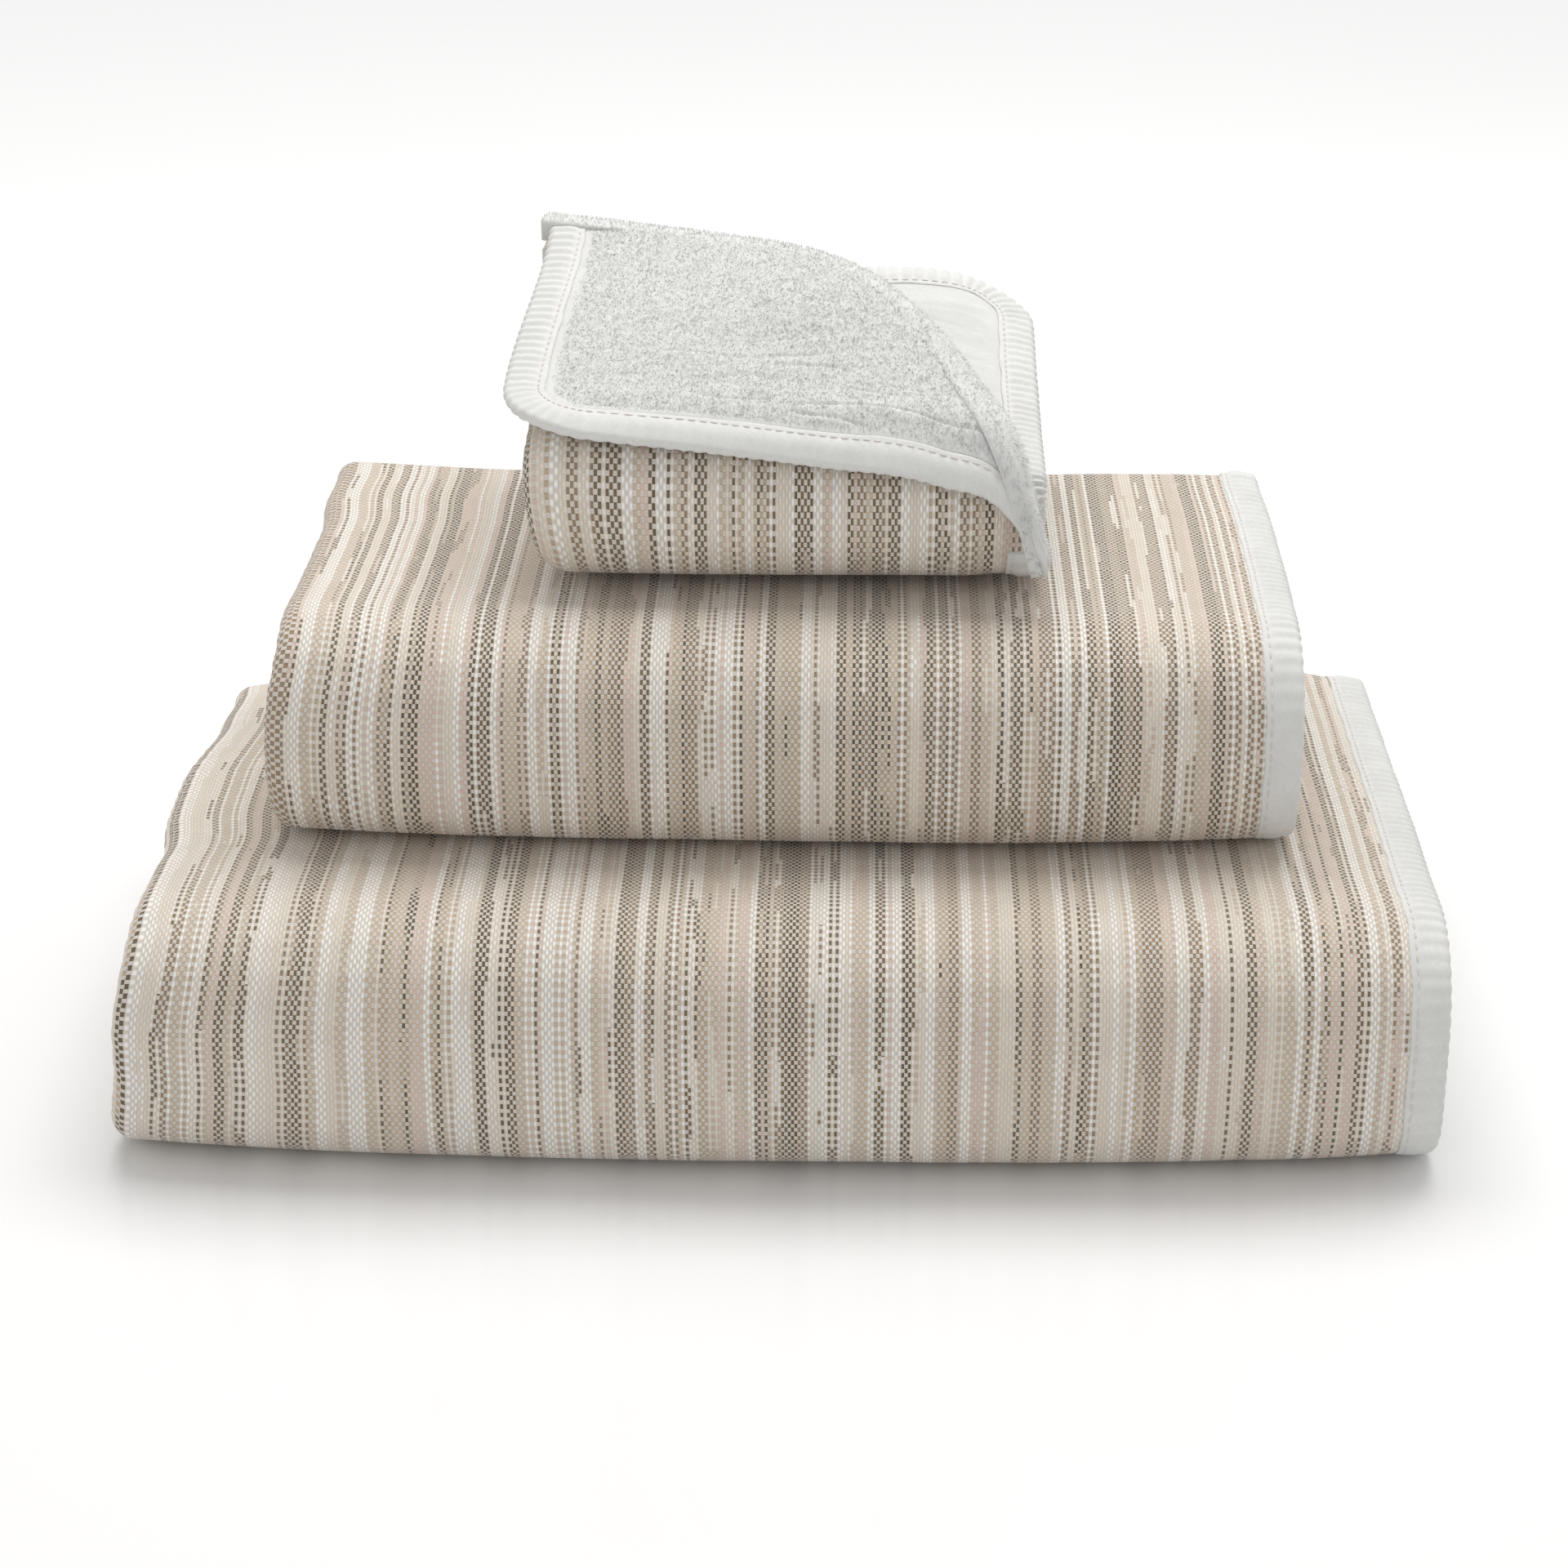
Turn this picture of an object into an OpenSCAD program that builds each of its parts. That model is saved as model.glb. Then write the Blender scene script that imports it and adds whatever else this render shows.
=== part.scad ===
// Bath towel set: a bath towel, a hand towel and a washcloth, folded and stacked.
// Each towel is one cloth with a flat woven striped face and a terry pile reverse.
// A tape is folded over its raw edge all round and held by a line of stitching.

/* [Bath towel] */
// Width of the folded bath towel, from its side fold to its bound edges
bath_width = 356; // [340:1:370]
// Depth of the folded bath towel, front bulge to back fold
bath_depth = 233; // [200:1:260]
// Height of the folded bath towel, twelve layers
bath_height = 75; // [66:3:84]

/* [Hand towel] */
// Width of the folded hand towel
hand_width = 286; // [270:1:300]
// Depth of the folded hand towel
hand_depth = 168; // [150:1:190]
// Height of the folded hand towel, twelve layers
hand_height = 66; // [60:3:75]
// How far the hand towel's front is set back from the bath towel's front
hand_setback = 56; // [45:1:65]

/* [Washcloth] */
// Width of the folded washcloth
wash_width = 146; // [138:1:150]
// Depth of the folded washcloth
wash_depth = 146; // [138:1:156]
// Height of the folded washcloth without its turned corner, four loose layers
wash_height = 56; // [44:1:56]
// How far the washcloth's front is set back from the hand towel's front
wash_setback = 31; // [25:1:45]
// Thickness of the turned-back corner
corner_height = 10.5; // [8:0.5:11.5]
// Angle at which the washcloth's loose upper half rises towards the back
wash_rise = 0; // [0:1:12]

/* [Cloth] */
// Thickness of the woven face
face_thickness = 1.2; // [0.8:0.1:1.6]
// Thickness of one loose layer of the washcloth, face and pile together
loose_thickness = 9; // [5:0.5:9]
// Thickness of the edge tape
tape_thickness = 0.6; // [0.4:0.1:0.8]
// How far the edge tape reaches in from the edge
tape_width = 11; // [9:0.5:13]
// Radius of the bound corners, seen from above
corner_radius = 22; // [18:1:28]
// Width of the stitching line
thread_width = 0.8; // [0.6:0.1:1.2]
// Depth of the stitching line in the tape
thread_depth = 0.35; // [0.2:0.05:0.4]

/* [Clearances] */
// Air between neighbouring folds of one towel
fold_gap = 0.4; // [0.3:0.1:0.6]
// Air between one towel and the next
stack_gap = 0.3; // [0.3:0.1:0.5]

/* [Hidden] */
$fn = 64;

// The cloth's raw edge stops this far inside the tape's rounded edge
raw_edge_inset = 0.3;
// The stitching line's distance from the tape's inner edge
thread_inset = 0.9;
// Extra length that lets a cutting body pass right through
pass = 1;
stripe_colour = [0.80, 0.74, 0.67];
terry_colour = [0.93, 0.94, 0.94];
tape_colour = [0.96, 0.97, 0.97];
thread_colour = [0.88, 0.86, 0.82];

hand_z = bath_height - fold_gap + stack_gap;
hand_y = -bath_depth / 2 + hand_setback + hand_depth / 2;
wash_z = hand_z + hand_height - fold_gap + stack_gap;
wash_y = hand_y - hand_depth / 2 + wash_setback + wash_depth / 2;
// The turned corner's fold line is x + y = corner_line in the washcloth's own plane
corner_line = 34;

// ---- One layer of cloth in section -------------------------------------------------
// x runs inward from the bound edge, y from the woven side to the pile side.

module box_2d(x0, x1, y0, y1) {
    translate([x0, y0])
        square([x1 - x0, y1 - y0]);
}

module rounded_edge_2d(inset, thickness) {
    r = thickness / 2 - inset;
    translate([thickness / 2, thickness / 2])
        circle(r);
    box_2d(thickness / 2, tape_width, inset, thickness - inset);
}

module thread_2d(thickness) {
    x1 = tape_width - thread_inset;
    x0 = x1 - thread_width;
    box_2d(x0, x1, 0, thread_depth);
    box_2d(x0, x1, thickness - thread_depth, thickness);
}

module layer_2d(kind, reach, thickness) {
    raw_edge = thickness / 2 + raw_edge_inset;
    if (kind == "face") {
        box_2d(tape_width, reach, 0, face_thickness);
        box_2d(raw_edge, tape_width, tape_thickness, face_thickness);
    }
    if (kind == "terry") {
        box_2d(tape_width, reach, face_thickness, thickness);
        box_2d(raw_edge, tape_width, face_thickness, thickness - tape_thickness);
    }
    if (kind == "tape")
        difference() {
            rounded_edge_2d(0, thickness);
            rounded_edge_2d(tape_thickness, thickness);
            thread_2d(thickness);
        }
    if (kind == "thread")
        thread_2d(thickness);
}

// ---- A cloth folded in two, in section ---------------------------------------------
// x runs through the thickness, y across the towel. The fold is at the left side and
// the two bound edges lie at the right side. The woven face is outside.

module ring_2d(kind, outer, thickness) {
    if (kind == "face")
        difference() {
            circle(outer);
            circle(outer - face_thickness);
        }
    if (kind == "terry")
        difference() {
            circle(outer - face_thickness);
            circle(outer - thickness);
        }
}

module half_layer_2d(kind, width, side_radius, thickness) {
    translate([fold_gap / 2, width / 2])
        rotate(-90)
            layer_2d(kind, width - side_radius, thickness);
}

module folded_2d(kind, width, pitch, thickness) {
    side_radius = pitch - fold_gap / 2;
    half_layer_2d(kind, width, side_radius, thickness);
    translate([2 * pitch, 0])
        mirror([1, 0])
            half_layer_2d(kind, width, side_radius, thickness);
    if (kind == "face" || kind == "terry")
        intersection() {
            translate([pitch, side_radius - width / 2])
                ring_2d(kind, side_radius, thickness);
            box_2d(0, 2 * pitch, -width / 2, side_radius - width / 2);
        }
}

// ---- Runs and turns of the folded cloth --------------------------------------------

module section_along_y() {
    rotate([90, 0, 90])
        rotate([90, 0, 90])
            children();
}

module section_round_x() {
    rotate([90, 0, 90])
        children();
}

module run(kind, width, pitch, thickness, y0, y1, z) {
    translate([0, y0, z])
        section_along_y()
            linear_extrude(y1 - y0)
                folded_2d(kind, width, pitch, thickness);
}

// A half turn about an axis across the towel; side is 1 for a back fold, -1 for a front one.
// A turn that stops short by the angle rise leaves the upper cloth sloping up behind it.
module turn(kind, width, pitch, thickness, y, z, inner, side, rise = 0) {
    translate([0, y, z])
        section_round_x()
            rotate([0, 0, side > 0 ? -90 : 90 + rise])
                rotate_extrude(angle = 180 - rise)
                    translate([inner, 0])
                        folded_2d(kind, width, pitch, thickness);
}

// ---- One layer with a bound end and a rounded corner -------------------------------
// The corner is at the left front of a sheet that runs to x1 and y1; the woven side is down.

module section_along_x() {
    rotate([90, 0, 90])
        children();
}

module end_strip(kind, x0, x1, y0, thickness, reach) {
    translate([x0, y0, 0])
        section_along_x()
            linear_extrude(x1 - x0)
                layer_2d(kind, reach, thickness);
}

module corner_turn(kind, x0, y0, thickness) {
    translate([x0 + corner_radius, y0 + corner_radius, 0])
        rotate([0, 0, 180])
            rotate_extrude(angle = 90)
                translate([corner_radius, 0])
                    mirror([1, 0])
                        layer_2d(kind, corner_radius, thickness);
}

// The two layers' bound ends of a folded cloth, with the corner at the right side
module folded_end(kind, width, pitch, thickness, y, z, side) {
    for (upper = [false, true])
        translate([0, y, z + pitch])
            mirror([0, 0, upper ? 1 : 0])
                translate([0, 0, fold_gap / 2 - pitch])
                    mirror([0, side > 0 ? 1 : 0, 0])
                        mirror([1, 0, 0]) {
                            end_strip(kind, corner_radius - width / 2, width / 2 - pitch,
                                      0, thickness, corner_radius);
                            corner_turn(kind, -width / 2, 0, thickness);
                        }
}

// ---- Bath and hand towel: in half three ways, then in thirds ------------------------
// The double cloth starts at a bound end inside, runs under the stack, round the front,
// back along the top, turns and returns the same way.

module stacked(kind, width, depth, height) {
    pitch = height / 12;
    thickness = pitch - fold_gap / 2 - fold_gap / 4;
    front = 6 * pitch - depth / 2;
    back = depth / 2 - 4 * pitch;
    top_back = depth / 2 - 2 * pitch - 1;
    inner_end = front + 2;
    for (level = [0, 1])
        run(kind, width, pitch, thickness, front, back, 2 * pitch * level);
    for (level = [2, 3]) {
        run(kind, width, pitch, thickness, inner_end + corner_radius, back, 2 * pitch * level);
        folded_end(kind, width, pitch, thickness, inner_end, 2 * pitch * level, -1);
    }
    for (level = [4, 5])
        run(kind, width, pitch, thickness, front, top_back, 2 * pitch * level);
    for (inner = [0, 2 * pitch])
        turn(kind, width, pitch, thickness, back, 4 * pitch, inner, 1);
    for (inner = [2 * pitch, 4 * pitch])
        turn(kind, width, pitch, thickness, front, 6 * pitch, inner, -1);
    turn(kind, width, pitch, thickness, top_back, 10 * pitch, 0, 1);
}

module bath(kind) {
    translate([0, 0, -fold_gap / 2])
        stacked(kind, bath_width, bath_depth, bath_height);
}

module hand(kind) {
    translate([0, hand_y, hand_z - fold_gap / 2])
        stacked(kind, hand_width, hand_depth, hand_height);
}

// ---- Washcloth: in quarters, the top layer's free corner turned back ----------------

module behind_fold_line(z0, z1) {
    reach = wash_width + wash_depth;
    translate([corner_line / 2, corner_line / 2, z0])
        rotate([0, 0, -45])
            translate([-reach, 0, 0])
                cube([2 * reach, reach, z1 - z0]);
}

// Tips what lies on the washcloth's front fold up towards the back, about the fold's middle
module risen() {
    pitch = wash_height / 4;
    front = 2 * pitch - wash_depth / 2;
    translate([0, front, 2 * pitch])
        rotate([wash_rise, 0, 0])
            translate([0, -front, -2 * pitch])
                children();
}

module washcloth_half(kind, level) {
    pitch = wash_height / 4;
    front = 2 * pitch - wash_depth / 2;
    free_end = wash_depth / 2;
    run(kind, wash_width, pitch, loose_thickness,
        front, free_end - corner_radius, 2 * pitch * level);
    folded_end(kind, wash_width, pitch, loose_thickness, free_end, 2 * pitch * level, 1);
}

module washcloth(kind) {
    pitch = wash_height / 4;
    front = 2 * pitch - wash_depth / 2;
    translate([0, wash_y, wash_z - fold_gap / 2]) {
        washcloth_half(kind, 0);
        turn(kind, wash_width, pitch, loose_thickness, front, 2 * pitch, 0, -1, wash_rise);
        risen()
            difference() {
                washcloth_half(kind, 1);
                behind_fold_line(3 * pitch + fold_gap, 4 * pitch + pass);
            }
    }
}

module corner(kind) {
    thickness = corner_height;
    left = -wash_width / 2;
    front = -wash_depth / 2;
    translate([0, wash_y, wash_z - fold_gap / 2])
        risen()
            translate([0, 0, wash_height - fold_gap / 2 + stack_gap])
                difference() {
                    union() {
                        translate([left, wash_depth / 2, 0])
                            rotate([90, 0, 0])
                                linear_extrude(wash_depth - corner_radius)
                                    layer_2d(kind, wash_width, thickness);
                        end_strip(kind, left + corner_radius, wash_width / 2,
                                  front, thickness, corner_radius);
                        corner_turn(kind, left, front, thickness);
                    }
                    behind_fold_line(-pass, thickness + pass);
                }
}

// ---- Sub-parts ---------------------------------------------------------------------

module bath_face() {
    color(stripe_colour) bath("face");
}
module bath_terry() {
    color(terry_colour) bath("terry");
}
module bath_tape() {
    color(tape_colour) bath("tape");
}
module bath_thread() {
    color(thread_colour) bath("thread");
}
module hand_face() {
    color(stripe_colour) hand("face");
}
module hand_terry() {
    color(terry_colour) hand("terry");
}
module hand_tape() {
    color(tape_colour) hand("tape");
}
module hand_thread() {
    color(thread_colour) hand("thread");
}
module washcloth_face() {
    color(stripe_colour) washcloth("face");
}
module washcloth_terry() {
    color(terry_colour) washcloth("terry");
}
module washcloth_tape() {
    color(tape_colour) washcloth("tape");
}
module washcloth_thread() {
    color(thread_colour) washcloth("thread");
}
module corner_face() {
    color(stripe_colour) corner("face");
}
module corner_terry() {
    color(terry_colour) corner("terry");
}
module corner_tape() {
    color(tape_colour) corner("tape");
}
module corner_thread() {
    color(thread_colour) corner("thread");
}

bath_face();
bath_terry();
bath_tape();
bath_thread();
hand_face();
hand_terry();
hand_tape();
hand_thread();
washcloth_face();
washcloth_terry();
washcloth_tape();
washcloth_thread();
corner_face();
corner_terry();
corner_tape();
corner_thread();
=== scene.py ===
"""Bath towel set: bath towel, hand towel and washcloth, folded and stacked, with looks for each cloth."""

import math

import bpy
import numpy as np
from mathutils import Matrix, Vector


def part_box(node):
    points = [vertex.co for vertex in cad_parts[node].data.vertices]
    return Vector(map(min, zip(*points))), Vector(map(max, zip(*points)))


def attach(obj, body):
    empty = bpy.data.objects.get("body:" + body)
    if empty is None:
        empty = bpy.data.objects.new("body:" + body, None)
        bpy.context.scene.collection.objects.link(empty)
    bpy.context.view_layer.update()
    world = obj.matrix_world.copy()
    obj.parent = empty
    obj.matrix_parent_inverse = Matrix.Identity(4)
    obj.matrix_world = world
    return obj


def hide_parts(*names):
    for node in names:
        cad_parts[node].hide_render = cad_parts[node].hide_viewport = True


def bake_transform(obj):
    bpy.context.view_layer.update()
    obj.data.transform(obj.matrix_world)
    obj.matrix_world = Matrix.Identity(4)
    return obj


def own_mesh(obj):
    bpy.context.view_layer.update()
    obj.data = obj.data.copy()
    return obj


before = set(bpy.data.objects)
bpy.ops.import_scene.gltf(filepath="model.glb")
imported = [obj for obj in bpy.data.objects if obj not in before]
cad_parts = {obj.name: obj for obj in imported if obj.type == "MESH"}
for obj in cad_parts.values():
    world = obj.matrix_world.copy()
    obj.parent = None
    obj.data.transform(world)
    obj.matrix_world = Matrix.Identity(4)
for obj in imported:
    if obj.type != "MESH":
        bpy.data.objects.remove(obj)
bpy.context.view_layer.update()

MM = 0.001
LAYERS = 12
EDGING_WIDTH = 11.0
CORNER_RADIUS = 22.0
RIB_PITCH = 4.0
STITCH_INSET = 9.3
PILE_GAP = 0.15
LAYER_AIR = 0.35


# ---- Repeatable noise ------------------------------------------------------------------


def lattice_value(ix, iy, iz, seed):
    """A repeatable value from -1 to 1 for each whole-number grid point."""
    h = ix * 73856093 ^ iy * 19349663 ^ iz * 83492791 ^ (seed * 7919 + 17) * 2654435761
    h = (h ^ (h >> 13)) * 1274126177
    h = h ^ (h >> 16)
    return (h & 0xFFFFF) / float(0x7FFFF) - 1.0


def soft_noise(points, size, seed):
    """Smooth noise with swells about size across, for rows of 2 or 3 coordinates."""
    p = np.atleast_2d(np.asarray(points, float)) / size
    if p.shape[1] == 2:
        p = np.column_stack([p, np.full(len(p), 0.37)])
    cell = np.floor(p).astype(np.int64)
    f = p - cell
    f = f * f * (3 - 2 * f)
    total = np.zeros(len(p))
    for dx in (0, 1):
        for dy in (0, 1):
            for dz in (0, 1):
                weight = (f[:, 0] if dx else 1 - f[:, 0]) * (f[:, 1] if dy else 1 - f[:, 1])
                weight = weight * (f[:, 2] if dz else 1 - f[:, 2])
                total += weight * lattice_value(cell[:, 0] + dx, cell[:, 1] + dy, cell[:, 2] + dz, seed)
    return total


def wave_noise(values, size, seed):
    """Smooth noise along one coordinate."""
    v = np.asarray(values, float)
    return soft_noise(np.column_stack([v.ravel(), np.zeros(v.size)]), size, seed).reshape(v.shape)


def smooth(value, low, high):
    """0 below low, 1 above high, eased between them."""
    t = np.clip((np.asarray(value, float) - low) / (high - low), 0, 1)
    return t * t * (3 - 2 * t)


# ---- Mesh making -----------------------------------------------------------------------


def grid_quads(rows, cols, offset=0, flip=False):
    """Quads of a rows x cols grid of vertices."""
    r, c = np.meshgrid(np.arange(rows - 1), np.arange(cols - 1), indexing="ij")
    a = (r * cols + c).ravel() + offset
    quads = np.column_stack([a, a + 1, a + cols + 1, a + cols])
    return quads[:, ::-1] if flip else quads


def face_cells(count):
    """A small square of the bake map for every face."""
    per_row = int(math.sqrt(count)) + 1
    cell = np.column_stack([np.arange(count) % per_row, np.arange(count) // per_row])
    inset = np.array([(0.1, 0.1), (0.9, 0.1), (0.9, 0.9), (0.1, 0.9)])
    return (cell[:, None, :] + inset[None, :, :]) / per_row


def make_mesh(name, points, quads, maps, materials, tris=None, kinds=None, smooth_shade=True, bake=None):
    """A mesh object in metres from points in millimetres.

    maps are given per vertex, bake per corner of each quad.
    """
    tris = np.zeros((0, 3), np.int64) if tris is None else tris
    mesh = bpy.data.meshes.new(name)
    mesh.vertices.add(len(points))
    mesh.vertices.foreach_set("co", (np.asarray(points) * MM).astype(np.float32).ravel())
    corners = np.concatenate([quads.ravel(), tris.ravel()]).astype(np.int32)
    sizes = np.concatenate([np.full(len(quads), 4), np.full(len(tris), 3)])
    mesh.loops.add(len(corners))
    mesh.loops.foreach_set("vertex_index", corners)
    mesh.polygons.add(len(sizes))
    starts = np.concatenate([[0], np.cumsum(sizes)[:-1]]).astype(np.int32)
    mesh.polygons.foreach_set("loop_start", starts)
    mesh.polygons.foreach_set("use_smooth", np.full(len(sizes), smooth_shade))
    for material in materials:
        mesh.materials.append(material)
    if kinds is not None:
        mesh.polygons.foreach_set("material_index", np.asarray(kinds, np.int32))
    if bake is None and "OFBake" not in maps:
        cells = face_cells(len(sizes))
        bake, spare = cells[: len(quads)], cells[len(quads):, :3]
    else:
        spare = np.zeros((len(tris), 3, 2))
    for map_name, uv in maps.items():
        layer = mesh.uv_layers.new(name=map_name)
        layer.data.foreach_set("uv", np.asarray(uv, np.float32)[corners].ravel())
    if bake is not None:
        layer = mesh.uv_layers.new(name="OFBake")
        per_corner = np.concatenate([np.reshape(bake, (-1, 2)), np.reshape(spare, (-1, 2))])
        layer.data.foreach_set("uv", per_corner.astype(np.float32).ravel())
    mesh.update(calc_edges=True)
    mesh.validate()
    thing = bpy.data.objects.new(name, mesh)
    bpy.context.scene.collection.objects.link(thing)
    return thing


def spaced(values, weights):
    """Positions from 0 to 1 for rising values, where a stretch of weight 2 takes twice the room."""
    steps = np.diff(values) * (weights[1:] + weights[:-1]) / 2
    total = np.concatenate([[0], np.cumsum(np.abs(steps) + 1e-9)])
    return total / total[-1]


def two_sided_sheet(name, outer, inner, cloth_uv, row_room, col_room, materials, outer_room=0.70):
    """A closed cloth from an outer (woven) and an inner (pile) grid, rows x cols x 3."""
    rows, cols = outer.shape[:2]
    count = rows * cols
    index = np.arange(count).reshape(rows, cols)
    quads = [grid_quads(rows, cols), grid_quads(rows, cols, count, flip=True)]
    for line in (index[0], index[:, -1], index[-1][::-1], index[:, 0][::-1]):
        quads.append(np.column_stack([line[1:], line[:-1], line[:-1] + count, line[1:] + count]))
    kinds = np.concatenate([np.zeros(len(quads[0])), np.ones(sum(len(q) for q in quads[1:]))])
    room = np.stack(np.meshgrid(col_room, row_room), axis=-1).reshape(-1, 2)
    bake_outer = room * [0.98, outer_room] + [0.01, 0.01]
    bake_inner = room * [0.98, 0.93 - outer_room] + [0.01, outer_room + 0.02]
    per_vertex = np.vstack([bake_outer, bake_inner])
    bake = [per_vertex[q] for q in quads[:2]]
    for strip, q in enumerate(quads[2:]):
        k = np.arange(len(q)) / len(q) * 0.98 + 0.01
        low = np.full(len(q), 0.962 + 0.009 * strip)
        step = 0.98 / len(q)
        corners = [(k, low), (k + step, low), (k + step, low + 0.007), (k, low + 0.007)]
        bake.append(np.stack([np.stack(c, axis=-1) for c in corners], axis=1))
    flat = cloth_uv.reshape(-1, 2) * MM
    maps = {"Cloth": np.vstack([flat, flat])}
    points = np.vstack([outer.reshape(-1, 3), inner.reshape(-1, 3)])
    return make_mesh(name, points, np.vstack(quads), maps, materials, kinds=kinds, bake=np.vstack(bake))


# ---- The path that a cloth takes through its folds ----------------------------------------


def fold_path(y, z, heading, legs):
    """Follows runs and turns in the towel's side view.

    legs are ("run", length) or ("over"/"under", radius, angle).

    Returns a table of length, y, z and heading, and the length at the end of each leg.
    """
    tail = 25.0
    before = (-tail, y - tail * math.cos(heading), z - tail * math.sin(heading), heading)
    rows = [before, (0.0, y, z, heading)]
    marks = [0.0]
    for leg in legs:
        length = rows[-1][0]
        if leg[0] == "run":
            y += leg[1] * math.cos(heading)
            z += leg[1] * math.sin(heading)
            rows.append((length + leg[1], y, z, heading))
        else:
            side = 1 if leg[0] == "over" else -1
            radius, angle = leg[1], leg[2]
            centre_y = y + side * radius * math.sin(heading)
            centre_z = z - side * radius * math.cos(heading)
            steps = 60
            for k in range(1, steps + 1):
                turned = heading - side * angle * k / steps
                y = centre_y - side * radius * math.sin(turned)
                z = centre_z + side * radius * math.cos(turned)
                rows.append((length + radius * angle * k / steps, y, z, turned))
            heading = heading - side * angle
        marks.append(rows[-1][0])
    length = rows[-1][0]
    rows.append((length + tail, y + tail * math.cos(heading), z + tail * math.sin(heading), heading))
    return np.array(rows).T, marks


def across(u, width, pitch):
    """Where a point u round a doubled cloth lies: x, offset from the middle, and which way is out."""
    half = pitch / 2
    run = width - pitch
    turn = math.pi * half
    side = np.clip((u - run) / turn, 0, 1) * math.pi
    along = np.where(u <= run, u, np.where(u >= run + turn, 2 * run + turn - u, run))
    x = width / 2 - along - half * np.sin(side)
    return x, half * np.cos(side), -np.sin(side), np.cos(side)


def place(towel, u, s, n):
    """The point of a folded towel at u across, s along and n out from the layer's middle, in millimetres."""
    u, s, n = np.broadcast_arrays(np.asarray(u, float), np.asarray(s, float), np.asarray(n, float))
    x, q, out_x, out_q = across(u, towel["width"], towel["pitch"])
    length, path_y, path_z, path_a = towel["path"]
    a = np.interp(s, length, path_a)
    y = np.interp(s, length, path_y) - q * np.sin(a)
    z = np.interp(s, length, path_z) + q * np.cos(a)
    middle = towel["settle"](np.stack([x, y, z], axis=-1), u, s)
    out = np.stack([out_x, -out_q * np.sin(a), out_q * np.cos(a)], axis=-1)
    return middle + out * n[..., None] + towel["centre"]


def flat_width(towel):
    return 2 * (towel["width"] - towel["pitch"]) + math.pi * towel["pitch"] / 2


def flat_length(towel):
    return towel["marks"][-1]


def keep_in_corners(u, s, wide, long, inset):
    """Pulls flat cloth points inside a rectangle with rounded corners."""
    radius = CORNER_RADIUS - inset
    u = np.clip(u, inset, wide - inset)
    s = np.clip(s, inset, long - inset)
    cu = np.clip(u, CORNER_RADIUS, wide - CORNER_RADIUS)
    cs = np.clip(s, CORNER_RADIUS, long - CORNER_RADIUS)
    du, ds = u - cu, s - cs
    reach = np.maximum(np.hypot(du, ds), 1e-9)
    pull = np.minimum(1, radius / reach)
    return cu + du * pull, cs + ds * pull


def edge_distance(u, s, wide, long):
    """Distance of a flat cloth point from the bound edge."""
    cu = np.clip(u, CORNER_RADIUS, wide - CORNER_RADIUS)
    cs = np.clip(s, CORNER_RADIUS, long - CORNER_RADIUS)
    return CORNER_RADIUS - np.hypot(u - cu, s - cs)


# ---- Bound edges -----------------------------------------------------------------------------


def edging_profile(band):
    """The tape's closed section: distance from the edge, height from the layer's middle, share of ribs."""
    top = [
        (EDGING_WIDTH, -0.5, 0), (EDGING_WIDTH, 0.15, 0), (10.6, 0.32, 0), (9.9, 0.34, 0), (9.3, 0.28, 0),
        (8.7, 0.36, 0.25),
    ]
    top += [(7.8, 0.52, 1), (6.6, 0.62, 1), (5.4, 0.56, 1), (4.2, 0.38, 1), (3.4, 0.2, 1)]
    woven = [(d, band + lift, ribs) for d, lift, ribs in top]
    for degrees in range(12, 90, 13):
        b = math.radians(degrees)
        woven.append((band * (1 - math.sin(b)), band * math.cos(b), 1))
    pile = [(d, -n, ribs) for d, n, ribs in reversed(woven)]
    return np.array(woven + [(0.0, 0.0, 1)] + pile)


def walk(legs, step_at):
    """Rows of place and inward direction along straight legs and quarter bends of a flat outline."""
    rows = []
    for leg in legs:
        if leg[0] == "line":
            start, end, inward = (np.array(v, float) for v in leg[1:4])
            total = np.linalg.norm(end - start)
            done = 0.0
            while done < total:
                spot = start + (end - start) * done / total
                rows.append((*spot, *inward))
                done += step_at(*spot)
        else:
            centre, start = leg[1], leg[2]
            count = max(12, int(CORNER_RADIUS * math.pi / 2 / step_at(*centre)))
            for k in range(count):
                b = start - math.pi / 2 * k / count
                spot = (centre[0] + CORNER_RADIUS * math.cos(b), centre[1] + CORNER_RADIUS * math.sin(b))
                rows.append((*spot, -math.cos(b), -math.sin(b)))
    return np.array(rows)


def outline_legs(wide, long):
    """The outline of a flat cloth with rounded corners, from the first bound edge all the way round."""
    c = CORNER_RADIUS
    return [
        ("line", (0, c), (0, long - c), (1, 0)),
        ("bend", (c, long - c), math.pi),
        ("line", (c, long), (wide - c, long), (0, -1)),
        ("bend", (wide - c, long - c), math.pi / 2),
        ("line", (wide, long - c), (wide, c), (-1, 0)),
        ("bend", (wide - c, c), 0.0),
        ("line", (wide - c, 0), (c, 0), (0, 1)),
        ("bend", (c, c), -math.pi / 2),
    ]


def route_length(route):
    gaps = np.hypot(np.diff(route[:, 0]), np.diff(route[:, 1]))
    return np.concatenate([[0], np.cumsum(gaps)])


def rib_height(run, amount, seed):
    """Rounded ribs across the tape, a little uneven in spacing and height."""
    drift = 1.1 * wave_noise(run, 23.0, seed)
    wave = 0.5 + 0.5 * np.cos(2 * math.pi * (run + drift) / RIB_PITCH)
    return amount * (1 + 0.25 * wave_noise(run, 9.0, seed + 1)) * (wave ** 0.8 - 0.45)


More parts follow.
